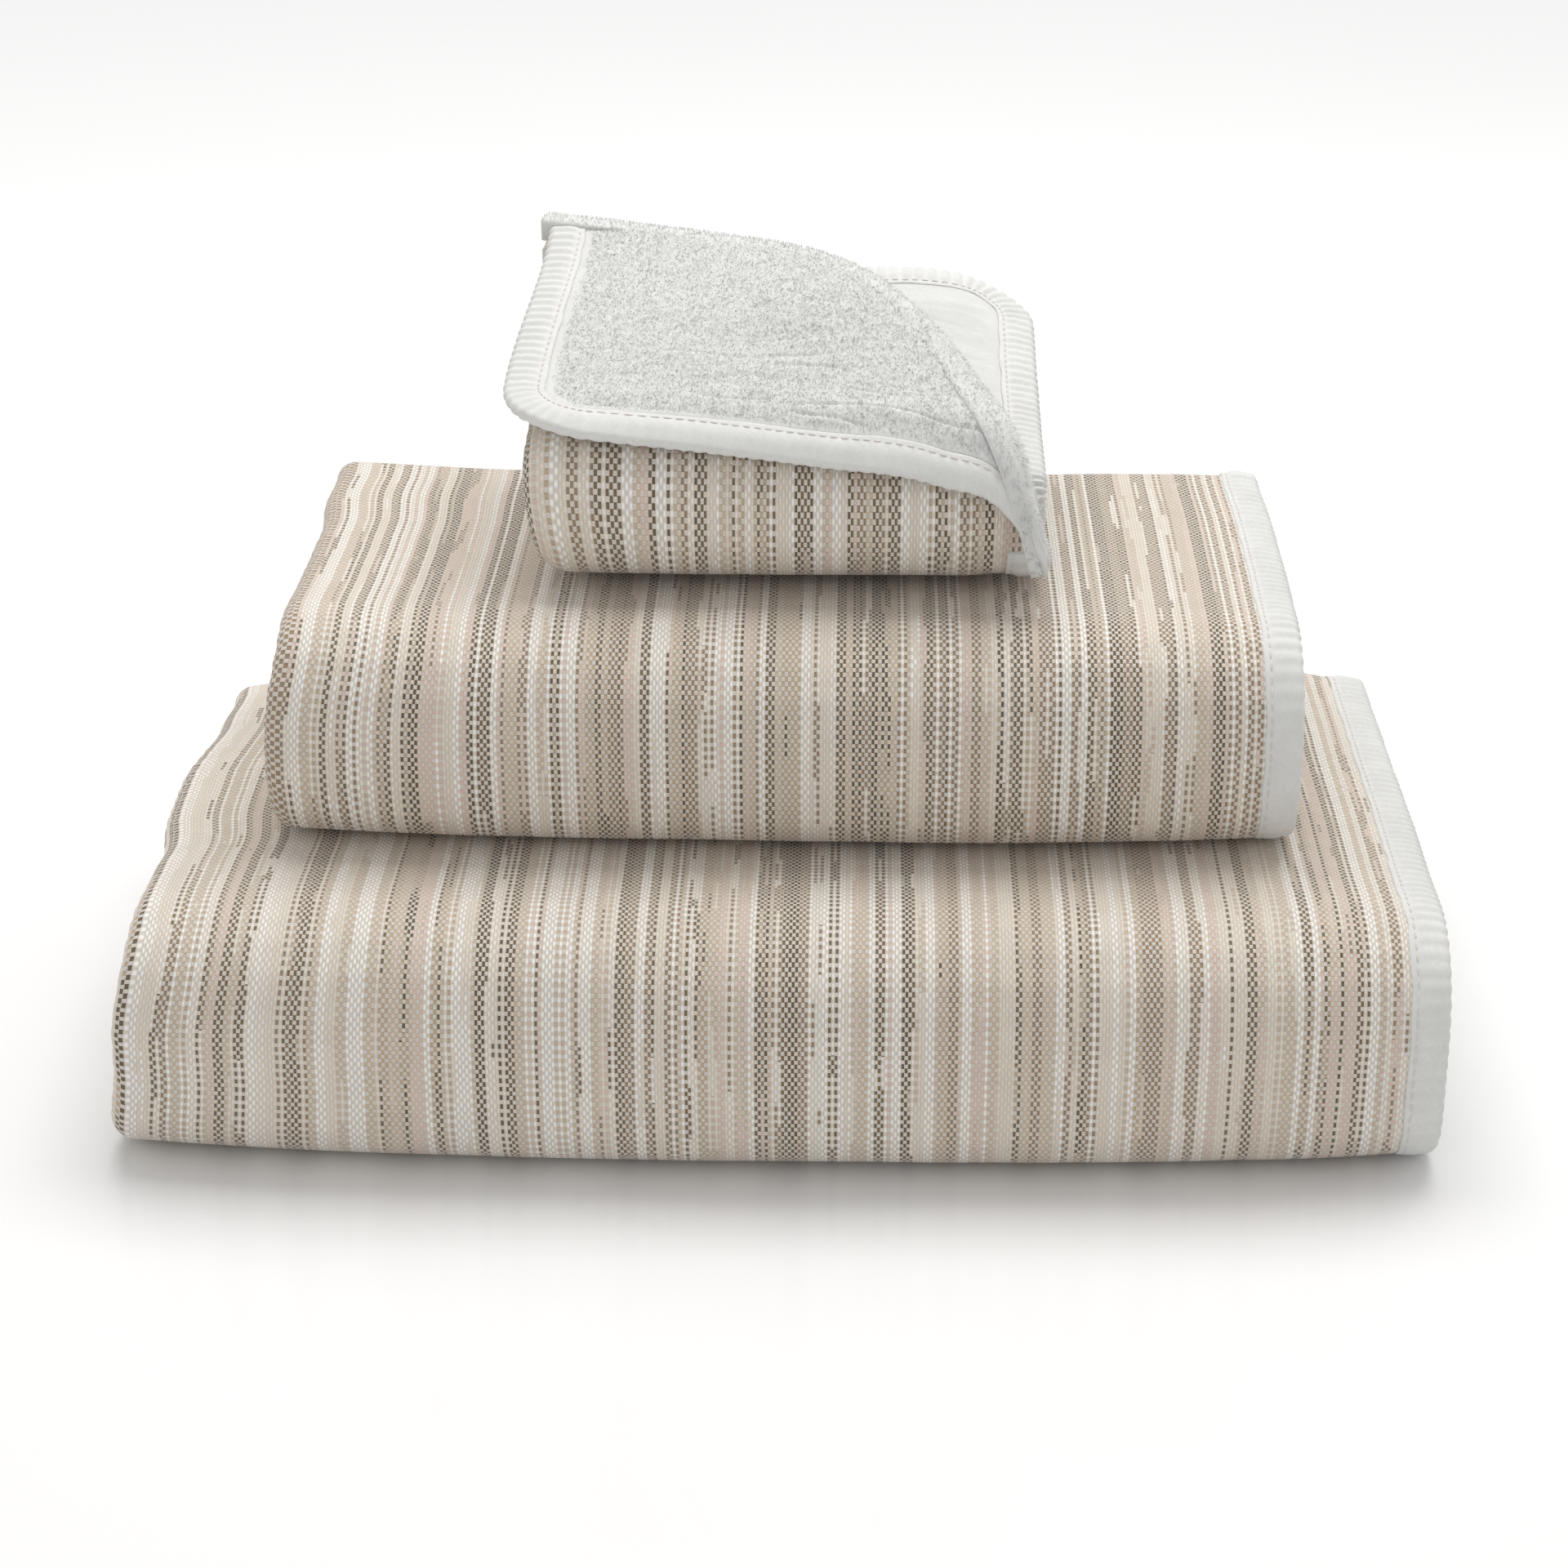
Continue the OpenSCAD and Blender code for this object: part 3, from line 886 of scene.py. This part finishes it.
def build_stacked(prefix, towel, cloth, body):
    """The cloth, edging and stitches of a bath or hand towel."""
    marks = towel["marks"]
    rows, row_weight = stack_samples(marks, (4, 5), 2.4, 9.0)
    cols, col_weight = width_samples(towel, 4.2, 11.0)
    sheet = make_cloth(prefix + "_cloth", towel, rows, row_weight, cols, col_weight, [cloth, PILE])

    def surface(u, s, n):
        return place(towel, u, s, n)

    def edging_step(u, s):
        near_first_edge = u < 12 and marks[3] - 5 < s < marks[5] + 15
        hidden_end = 25 < u < flat_width(towel) - 25
        return 0.62 if near_first_edge else (6.0 if hidden_end else 1.15)

    legs = outline_legs(flat_width(towel), flat_length(towel))
    route = walk(legs, edging_step)
    ribs = rib_share(towel, route)
    edging = make_edging(prefix + "_edging", surface, route, towel["band"], ribs, EDGING, seed=towel["seed"])
    stitch_route = walk(legs, lambda u, s: 3.0)
    stitches = make_stitches(prefix + "_stitches", surface, stitch_route, towel["band"], STITCHING)
    for piece in (sheet, edging, stitches):
        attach(piece, body)
    node = prefix.split("_")[0]
    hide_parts(node + "_face", node + "_terry")
    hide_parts(node + "_tape")
    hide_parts(node + "_thread")
    return sheet, edging, stitches


bath_low, bath_high = box_mm("bath_face", "bath_terry", "bath_tape")
hand_low, hand_high = box_mm("hand_face", "hand_terry", "hand_tape")
wash_low, wash_high = box_mm("washcloth_face", "washcloth_terry", "washcloth_tape")

bath_shape = {
    "bulge": 5.0, "stand_back": 9.0, "sag_left": 9.0, "sag_right": 2.5, "sag_back": 4.0,
    "top_short": 4.0, "spread": 1.035,
    "pressed_x": 0.0, "pressed_half": 141.0,
    "pressed_y": hand_low[1] + 12 - (bath_low[1] + bath_high[1]) / 2,
}
hand_shape = {
    "bulge": 4.0, "stand_back": 7.0, "sag_left": -1.5, "sag_right": 1.0, "sag_back": -1.5,
    "top_short": 1.0, "spread": 1.02,
    "pressed_x": 0.0, "pressed_half": 72.0, "pressed_y": wash_low[1] + 12 - (hand_low[1] + hand_high[1]) / 2,
}
bath = stacked_towel(bath_low, bath_high, 11, bath_shape, 2.55)
hand = stacked_towel(hand_low, hand_high, 47, hand_shape, 2.25)
build_stacked("bath_towel", bath, BATH_CLOTH, "bath_towel")
build_stacked("hand_towel", hand, HAND_CLOTH, "hand_towel")


# ---- Washcloth: in quarters, its top corner rolled back ------------------------------------------

WASH_PITCH = 13.0
WASH_RISE = math.radians(10.0)
WASH_DEPTH = 146.0
FOLD_MIDDLE = 2 * WASH_PITCH
FOLD_REACH = 30.0
LOOSE_HALF = 3.4
WASH_BAND = 2.0
ROLL_START = 8.0
LAP_MIDDLE = 53.0

wash_centre = np.array([(wash_low[0] + wash_high[0]) / 2, wash_low[1] + WASH_DEPTH / 2, wash_low[2] - 0.2])
wash_front = FOLD_MIDDLE - WASH_DEPTH / 2
wash_run = WASH_DEPTH - FOLD_MIDDLE

# The rolled fold seen from above: x, and how far back from the front fold's top.
# Less than 0 is round the fold.
RIDGE = np.array([
    (-76.0, 117.0), (-48.0, 110.0), (-20.0, 100.0), (8.0, 84.0), (31.0, 59.0), (46.0, 34.0),
    (56.0, 8.0), (63.0, -13.0), (69.0, -36.0), (73.5, -56.0),
])
# The rolled-back corner's front edge, the same way.
LAP_FRONT = np.array([
    (-76.0, -7.0), (-55.0, -12.0), (8.0, -22.0), (42.0, -28.0), (60.0, -36.0), (69.0, -50.0), (75.0, -66.0),
])


def eased_line(points, x):
    """A smooth line through points with rising first coordinates."""
    px, py = points[:, 0], points[:, 1]
    slope = np.gradient(py, px)
    x = np.asarray(x, float)
    k = np.clip(np.searchsorted(px, x) - 1, 0, len(px) - 2)
    gap = px[k + 1] - px[k]
    t = np.clip((x - px[k]) / gap, 0, 1)
    a, b = 2 * t**3 - 3 * t**2 + 1, t**3 - 2 * t**2 + t
    c, d = -2 * t**3 + 3 * t**2, t**3 - t**2
    return a * py[k] + b * gap * slope[k] + c * py[k + 1] + d * gap * slope[k + 1]


def wash_lift(x, t, h):
    """How far loose layers stand above where they would lie."""
    back_edge = 8.0 * smooth(t, 55, 125) * (1 - 0.6 * smooth(x, 35, 73))
    right_edge = 3.0 * smooth(x, 45, 73) * smooth(t, 0, 40)
    share = 1.0 - 0.45 * smooth(h, 36, 44)
    return (back_edge - right_edge) * share


def left_give(x, t):
    """How far the left side leans out over the towel below."""
    return smooth(-x, 25, 76) * (2.0 + 7.0 * (1 - smooth(t, 10, 110)))


def puff(x, t):
    """The hollow crown of the rolled-back corner."""
    crown = 8.5 * np.exp(-((x - 16) / 46) ** 2 - ((t - 58) / 46) ** 2)
    return crown + 2.5 * smooth(t, 10, 80) * (1 - smooth(x, 20, 70))


def shell(x, t, h):
    """A point of the washcloth's upper half.

    x is across, t back from the front fold's top, h above the washcloth's base.
    """
    x, t, h = np.broadcast_arrays(np.asarray(x, float), np.asarray(t, float), np.asarray(h, float))
    h = h + wash_lift(x, t, h)
    reach = h - FOLD_MIDDLE
    x = x - left_give(x, t)
    turned = WASH_RISE + np.maximum(-t, 0) / FOLD_REACH
    back = np.maximum(t, 0)
    y = wash_front - reach * np.sin(turned) + back * math.cos(WASH_RISE)
    z = FOLD_MIDDLE + reach * np.cos(turned) + back * math.sin(WASH_RISE)
    return np.stack([x, y, z], axis=-1) + wash_centre


def wash_settle(points, u, s):
    x, y, z = points[..., 0], points[..., 1], points[..., 2]
    along, up = y - wash_front, z - FOLD_MIDDLE
    t = along * math.cos(WASH_RISE) + up * math.sin(WASH_RISE)
    h = FOLD_MIDDLE - along * math.sin(WASH_RISE) + up * math.cos(WASH_RISE)
    upper = smooth(h, 27.0, 31.0) * smooth(t, 0, 12)
    lift = upper * wash_lift(x, t, h)
    give = left_give(x, t) * (0.55 + 0.45 * smooth(h, 2, 40))
    x = x - give + 1.0 * wave_noise(s, 37.0, 71) * smooth(-x, 40, 73)
    y = y - math.sin(WASH_RISE) * lift + 4.0 * smooth(-along, 0, 20) * np.abs(x / 73) ** 3
    z = z + math.cos(WASH_RISE) * lift
    return np.stack([x, y, z], axis=-1)


def pile_relief(a, b, seed, lean=1.0):
    """Height of terry: long soft creases, rows of loops and single loops."""
    flat = np.stack([np.ravel(a), np.ravel(b)], axis=-1)
    bent = flat + np.column_stack([np.zeros(len(flat)), 3.0 * soft_noise(flat, 24.0, seed)])
    rows = soft_noise(bent * [1 / 3.4, 1.0], 3.1, seed + 1)
    crease = np.maximum(0, 0.42 - np.abs(soft_noise(bent * [1 / 3.4, 1.0], 6.0, seed + 2)) * 2.6)
    tufts = soft_noise(flat, 1.6, seed + 3)
    loops = soft_noise(flat, 0.8, seed + 4)
    broad = soft_noise(flat, 17.0, seed + 5)
    total = 0.5 * broad + 0.16 * rows + 0.10 * tufts + 0.09 * loops - 0.55 * np.ravel(lean) * crease
    return total.reshape(np.shape(a))


def lower_pile_relief(u, s, d):
    shows = smooth(u, flat_width(wash) / 2 - 6, flat_width(wash) / 2 + 10)
    return pile_relief(u, s, 83, 0.6) * smooth(d, 11.5, 16) * shows


wash_legs = [("run", wash_run), ("over", WASH_PITCH, math.pi - WASH_RISE), ("run", wash_run)]
wash_path, wash_marks = fold_path(WASH_DEPTH / 2, WASH_PITCH, -math.pi, wash_legs)
wash = {
    "width": wash_high[0] - wash_low[0], "pitch": WASH_PITCH, "path": wash_path, "marks": wash_marks,
    "seed": 83, "band": WASH_BAND, "full": LOOSE_HALF, "lining": LOOSE_HALF, "centre": wash_centre,
    "settle": wash_settle, "relief": lower_pile_relief,
}

ridge_x = np.linspace(RIDGE[0, 0], RIDGE[-1, 0], 400)
ridge_line = np.column_stack([ridge_x, eased_line(RIDGE, ridge_x)])
ridge_way = np.gradient(ridge_line, axis=0)
ridge_way = ridge_way / np.linalg.norm(ridge_way, axis=1)[:, None]
ridge_out = np.column_stack([-ridge_way[:, 1], ridge_way[:, 0]])
roll_size = 1 - 0.5 * smooth(ridge_line[:, 0], 56, 74)
cut_line = ridge_line - ridge_out * (ROLL_START * roll_size)[:, None]


def cut_at(x):
    """Where the top layer ends and the roll begins, back from the front fold's top."""
    return np.interp(x, cut_line[:, 0], cut_line[:, 1])


def top_length(t):
    """Length along the washcloth's path of a place t back from the front fold's top."""
    return wash_marks[2] + np.where(t > 0, t, t / FOLD_REACH * WASH_PITCH)


def stop_at_roll(u, s):
    """Shortens the top layer's rows so that they end at the roll."""
    x = across(u, wash["width"], WASH_PITCH)[0]
    side = np.clip((u - (wash["width"] - WASH_PITCH)) / (math.pi * WASH_PITCH / 2), 0, 1)
    end = flat_length(wash)
    limit = np.minimum(top_length(cut_at(x)), end)
    limit = limit * (1 - side) + end * side
    start = wash_marks[1]
    return np.where(s < start, s, start + (s - start) * (limit - start) / (end - start))


def wash_cols():
    run = wash["width"] - WASH_PITCH
    turn = math.pi * WASH_PITCH / 2
    wide = flat_width(wash)
    values = np.concatenate([
        np.arange(0, 17, 1.3), np.arange(17, run - 1.5, 3.0), np.linspace(run, run + turn, 15),
        np.arange(run + turn + 0.75, wide, 0.75), [wide],
    ])
    return values, np.where(values > run + turn, 2.0, 1.5)


wash_rows = np.concatenate([
    np.arange(0, wash_marks[1], 6.0), np.arange(wash_marks[1], wash_marks[2], 1.6),
    np.arange(wash_marks[2], wash_marks[3], 0.75), [wash_marks[3]],
])
wash_row_weight = np.where(wash_rows > wash_marks[1], 3.0, 1.0)
cols, col_weight = wash_cols()
wash_sheet = make_cloth("washcloth_cloth", wash, wash_rows, wash_row_weight, cols, col_weight,
                        [WASH_CLOTH, PILE], bend_rows=stop_at_roll)


def wash_surface(u, s, n):
    return place(wash, u, s, n)


def wash_route(step):
    wide, long, c = flat_width(wash), flat_length(wash), CORNER_RADIUS
    start = wash["width"] - WASH_PITCH + 6.0
    end = float(top_length(cut_at(72.5)))
    return walk([
        ("line", (start, long), (wide - c, long), (0, -1)), ("bend", (wide - c, long - c), math.pi / 2),
        ("line", (wide, long - c), (wide, c), (-1, 0)), ("bend", (wide - c, c), 0.0),
        ("line", (wide - c, 0), (c, 0), (0, 1)), ("bend", (c, c), -math.pi / 2),
        ("line", (0, c), (0, end), (1, 0)),
    ], step)


route = wash_route(lambda u, s: 0.6)
wash_ribs = np.full(len(route), 0.8)
wash_edging = make_edging("washcloth_edging", wash_surface, route, WASH_BAND, wash_ribs, EDGING,
                          closed=False, seed=21)
wash_stitches = make_stitches("washcloth_stitches", wash_surface, wash_route(lambda u, s: 2.0), WASH_BAND,
                              STITCHING, both_sides=True)


# ---- The rolled-back corner ------------------------------------------------------------------------

LAP_LEFT = -75.0


def lap_surface(a, b, n):
    """A point of the turned corner: a from its left edge, b from its front edge, n above its middle."""
    x = LAP_LEFT + np.asarray(a, float)
    t = eased_line(LAP_FRONT, x) + b
    ripple = 0.9 * soft_noise(np.stack([np.ravel(x), np.ravel(t)], -1), 30.0, 5).reshape(np.shape(x))
    return shell(x, t, LAP_MIDDLE + puff(x, t) + ripple + n)


def lap_corner(a, b, inset):
    """Rounds the corner at a = 0, b = 0."""
    radius = CORNER_RADIUS - inset
    a, b = np.maximum(a, inset), np.maximum(b, inset)
    ca, cb = np.maximum(a, CORNER_RADIUS), np.maximum(b, CORNER_RADIUS)
    reach = np.maximum(np.hypot(a - ca, b - cb), 1e-9)
    pull = np.minimum(1, radius / reach)
    return ca + (a - ca) * pull, cb + (b - cb) * pull


def lap_distance(a, b):
    ca, cb = np.maximum(a, CORNER_RADIUS), np.maximum(b, CORNER_RADIUS)
    return CORNER_RADIUS - np.hypot(a - ca, b - cb)


lap_end = 148.0
lap_a = np.concatenate([np.arange(0, lap_end, 0.62), [lap_end]])
lap_reach = cut_at(LAP_LEFT + lap_a) - eased_line(LAP_FRONT, LAP_LEFT + lap_a)
lap_reach = np.maximum(lap_reach, 3.0)
lap_share = np.linspace(0, 1, 215)
a, share = np.meshgrid(lap_a, lap_share)
b = share * lap_reach[None, :]
a, b = lap_corner(a, b, 1.8)
d = lap_distance(a, b)
under = smooth(d, 11.3, 10.2)
loose = smooth(d, 10.0, 26.0)
half = WASH_BAND + (LOOSE_HALF - WASH_BAND) * loose
t = eased_line(LAP_FRONT, LAP_LEFT + a) + b
front_creases = 0.1 + 2.0 * (1 - smooth(t, 5, 60))
relief = pile_relief(a, b, 29, front_creases) * smooth(d, 11.5, 16)
top = (half + relief) * (1 - under) + (WASH_BAND - 0.7) * under
lap_top = lap_surface(a, b, top)
lap_bottom = lap_surface(a, b, -(half * (1 - under) + (WASH_BAND - 0.7) * under))
lap_cloth_uv = np.stack([t + 150, 300 - a], axis=-1)
lap_sheet = two_sided_sheet("corner_cloth", lap_bottom, lap_top, lap_cloth_uv, lap_share, lap_a / lap_end,
                            [WASH_CLOTH, PILE])


def lap_route(step):
    c = CORNER_RADIUS
    return walk([
        ("line", (lap_end, 0), (c, 0), (0, 1)), ("bend", (c, c), -math.pi / 2),
        ("line", (0, c), (0, float(lap_reach[0])), (1, 0)),
    ], step)


def lap_flipped(a, b, n):
    return lap_surface(a, b, -n)


route = lap_route(lambda a, b: 0.5)
flat_parts = smooth(route[:, 1], 8, 40)
lap_edging = make_edging("corner_edging", lap_flipped, route, WASH_BAND, 0.35 + 0.5 * flat_parts, EDGING,
                         closed=False, seed=33)
lap_stitches = make_stitches("corner_stitches", lap_flipped, lap_route(lambda a, b: 2.0), WASH_BAND,
                             STITCHING, both_sides=True)

# The roll joins the top layer to the corner: half an oval that grows out of one and runs into the other.
gaps = np.concatenate([[0], np.cumsum(np.hypot(*np.diff(ridge_line, axis=0).T))])
roll_at = np.arange(0, gaps[-1], 0.8)
spine = np.column_stack([np.interp(roll_at, gaps, ridge_line[:, k]) for k in (0, 1)])
outward = np.column_stack([np.interp(roll_at, gaps, ridge_out[:, k]) for k in (0, 1)])
size = np.interp(roll_at, gaps, roll_size)
turns = np.linspace(0, math.pi, 34)
middle_top = LAP_MIDDLE + LOOSE_HALF + puff(spine[:, 0], spine[:, 1])
layer_middle = 3.5 * WASH_PITCH


def roll_points(low, high, depth, bulge):
    """Half ovals along the spine from height low to height high, standing out by depth."""
    centre, tall = (low + high) / 2, (high - low) / 2
    h = centre[:, None] - tall[:, None] * np.cos(turns)[None, :]
    e = -ROLL_START * size[:, None] - 1.0 + (depth[:, None]) * np.sin(turns)[None, :] ** 0.85
    h = h + bulge * np.cos(np.pi - turns)[None, :] * 0.3
    e = e + bulge * np.sin(turns)[None, :]
    x = spine[:, 0:1] + e * outward[:, 0:1]
    t = spine[:, 1:2] + e * outward[:, 1:2]
    return shell(x, t, h)


rr, tt = np.meshgrid(roll_at, turns * 11.0, indexing="ij")
roll_relief = pile_relief(rr, tt, 57, 0.4)
roll_outer = roll_points(np.full(len(size), layer_middle - LOOSE_HALF), middle_top, 12.5 * size, roll_relief)
inner_low = np.full(len(size), layer_middle + LOOSE_HALF)
roll_inner = roll_points(inner_low, middle_top - 2 * LOOSE_HALF, 5.5 * size, 0 * roll_relief)
roll_uv = np.stack([rr, tt], axis=-1)
roll = two_sided_sheet("corner_roll", roll_inner, roll_outer, roll_uv, roll_at / roll_at[-1],
                       turns / math.pi, [WASH_CLOTH, PILE])


# ---- Standing loops of the pile ----------------------------------------------------------------------


def make_tufts(name, feet, up, lean, length, thickness, material, seed, stand=0.5):
    """Slim bent cotton loops, closed at both ends, standing on the cloth."""
    chance = np.random.default_rng(seed)
    count = len(feet)
    up = up / np.linalg.norm(up, axis=1)[:, None]
    swirl = chance.normal(0, 0.38, (count, 3))
    way = lean + swirl * 0.6
    way = way - up * np.sum(way * up, axis=1)[:, None]
    long = (length * chance.uniform(0.65, 1.25, count))[:, None]
    thick = (thickness * chance.uniform(0.7, 1.2, count))[:, None]
    mid = feet + up * long * stand * 0.6 + way * long * 0.4
    tip = feet + up * long * stand + way * long * 0.9
    side = np.cross(up, way + 1e-6)
    side = side / np.maximum(np.linalg.norm(side, axis=1), 1e-9)[:, None]
    other = np.cross(side, up)
    points = []
    for centre, size_here in ((feet - up * 0.4, 1.0), (mid, 0.85)):
        for k in range(3):
            b = 2 * math.pi * k / 3
            points.append(centre + thick * size_here * (side * math.cos(b) + other * math.sin(b)))
    points.append(tip)
    points = np.stack(points, axis=1)
    base = np.arange(count)[:, None] * 7
    quads = [base + np.array([k, (k + 1) % 3, 3 + (k + 1) % 3, 3 + k]) for k in range(3)]
    tris = [base + np.array([3 + k, 3 + (k + 1) % 3, 6]) for k in range(3)] + [base + np.array([2, 1, 0])]
    points = points.reshape(-1, 3)
    maps = {"Cloth": np.zeros((len(points), 2))}
    return make_mesh(name, points, np.vstack(quads), maps, [material], tris=np.vstack(tris))


def grid_feet(grid, chance, count, keep=None):
    """Random feet on a grid surface with their normals and the grid's down-the-rows direction."""
    cols = grid.shape[1]
    down = grid[1:, :-1] - grid[:-1, :-1]
    right = grid[:-1, 1:] - grid[:-1, :-1]
    normal = np.cross(right, down)
    area = np.linalg.norm(normal, axis=-1)
    if keep is not None:
        area = area * keep[:-1, :-1]
    chosen = chance.choice(area.size, count, p=(area / area.sum()).ravel())
    r, c = np.divmod(chosen, cols - 1)
    fr, fc = chance.uniform(0, 1, (2, count, 1))
    feet = grid[r, c] + down[r, c] * fr + right[r, c] * fc
    return feet, normal[r, c], down[r, c], r, c


chance = np.random.default_rng(5)
tuft_keep = smooth(d, 12.0, 13.5)
feet, up, down, r, c = grid_feet(lap_top, chance, 28000, tuft_keep)
up = up * np.sign(up[:, 2:3] + 0.4 * -up[:, 1:2])
lean = -down / np.linalg.norm(down, axis=1)[:, None] * 0.7
lap_pile = make_tufts("corner_pile", feet, up, lean, 1.5, 0.09, PILE, 61, stand=0.3)

feet, up, down, r, c = grid_feet(roll_outer, chance, 9000)
axis_points = np.repeat(((roll_outer[:, 0] + roll_outer[:, -1]) / 2)[:, None], roll_outer.shape[1], axis=1)
up = up * np.sign(np.sum(up * (feet - axis_points[r, c]), axis=1))[:, None]
lean = np.zeros_like(up) + [0.0, -0.3, -0.2]
roll_pile = make_tufts("roll_pile", feet, up, lean, 1.9, 0.12, PILE, 62)


# ---- What each piece rides on and stands for --------------------------------------------------------------

for piece in (wash_sheet, wash_edging, wash_stitches):
    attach(piece, "washcloth")
for piece in (lap_sheet, lap_edging, lap_stitches, lap_pile):
    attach(piece, "washcloth_corner")
for piece in (roll, roll_pile):
    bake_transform(piece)
for piece in (lap_sheet, lap_edging, lap_stitches, lap_pile):
    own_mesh(piece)
for piece, nodes in (
    (wash_sheet, ("washcloth_face", "washcloth_terry")), (wash_edging, ("washcloth_tape",)),
    (wash_stitches, ("washcloth_thread",)), (lap_sheet, ("corner_face", "corner_terry")),
    (lap_edging, ("corner_tape",)), (lap_stitches, ("corner_thread",)),
):
    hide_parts(*nodes)
for slot, pieces in (
    ("striped_cloth", (wash_sheet,)), ("terry_pile", (lap_sheet, roll, lap_pile, roll_pile)),
    ("edge_tape", (wash_edging, lap_edging)), ("stitching", (wash_stitches, lap_stitches)),
):
    for piece in pieces:
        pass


# ---- Floor, lights and camera ----------------------------------------------------------------------------


def flat_floor():
    size, steps = 6000.0, 13
    spots = np.linspace(-size, size, steps)
    x, y = np.meshgrid(spots, spots)
    points = np.column_stack([x.ravel(), y.ravel(), np.full(x.size, -0.3)])
    uv = (points[:, :2] / size + 1) / 2
    maps = {"OFBake": uv, "Cloth": uv}
    floor = make_mesh("table_top", points, grid_quads(steps, steps), maps, [floor_material()])
    return floor


def area_light(name, place_at, target, size_x, size_y, power, colour):
    light = bpy.data.lights.new(name, "AREA")
    light.shape = "RECTANGLE"
    light.size, light.size_y = size_x, size_y
    light.energy = power
    light.color = colour
    lamp = bpy.data.objects.new(name, light)
    lamp.location = place_at
    lamp.rotation_euler = (Vector(target) - Vector(place_at)).to_track_quat("-Z", "Y").to_euler()
    bpy.context.scene.collection.objects.link(lamp)
    return lamp


def soft_room(strength):
    world = bpy.data.worlds.new("Soft room")
    world.use_nodes = True
    world.node_tree.nodes["Background"].inputs["Color"].default_value = (1.0, 1.0, 1.0, 1)
    nodes, links = world.node_tree.nodes, world.node_tree.links
    path = nodes.new("ShaderNodeLightPath")
    level = nodes.new("ShaderNodeMapRange")
    level.inputs["To Min"].default_value = strength
    level.inputs["To Max"].default_value = 1.0
    links.new(path.outputs["Is Camera Ray"], level.inputs["Value"])
    links.new(level.outputs["Result"], nodes["Background"].inputs["Strength"])
    bpy.context.scene.world = world


flat_floor()
soft_room(0.54)
area_light("top_light", (0.1, 0.45, 1.4), (0, 0, 0.1), 1.3, 1.0, 17, (1.0, 0.99, 0.975))
area_light("front_fill", (-0.5, -1.6, 0.9), (0, 0, 0.1), 1.2, 0.9, 3, (1.0, 1.0, 1.0))

camera_data = bpy.data.cameras.new("front_camera")
camera_data.sensor_width = 36.0
camera_data.lens = 82.5
camera_data.clip_end = 30.0
camera = bpy.data.objects.new("front_camera", camera_data)
camera.location = (0.019, -0.990, 0.515)
camera.rotation_euler = (math.radians(90 - 24.0), 0.0, math.radians(1.25))
bpy.context.scene.collection.objects.link(camera)
bpy.context.scene.camera = camera
bpy.context.scene.view_settings.view_transform = "Standard"

bpy.context.view_layer.update()
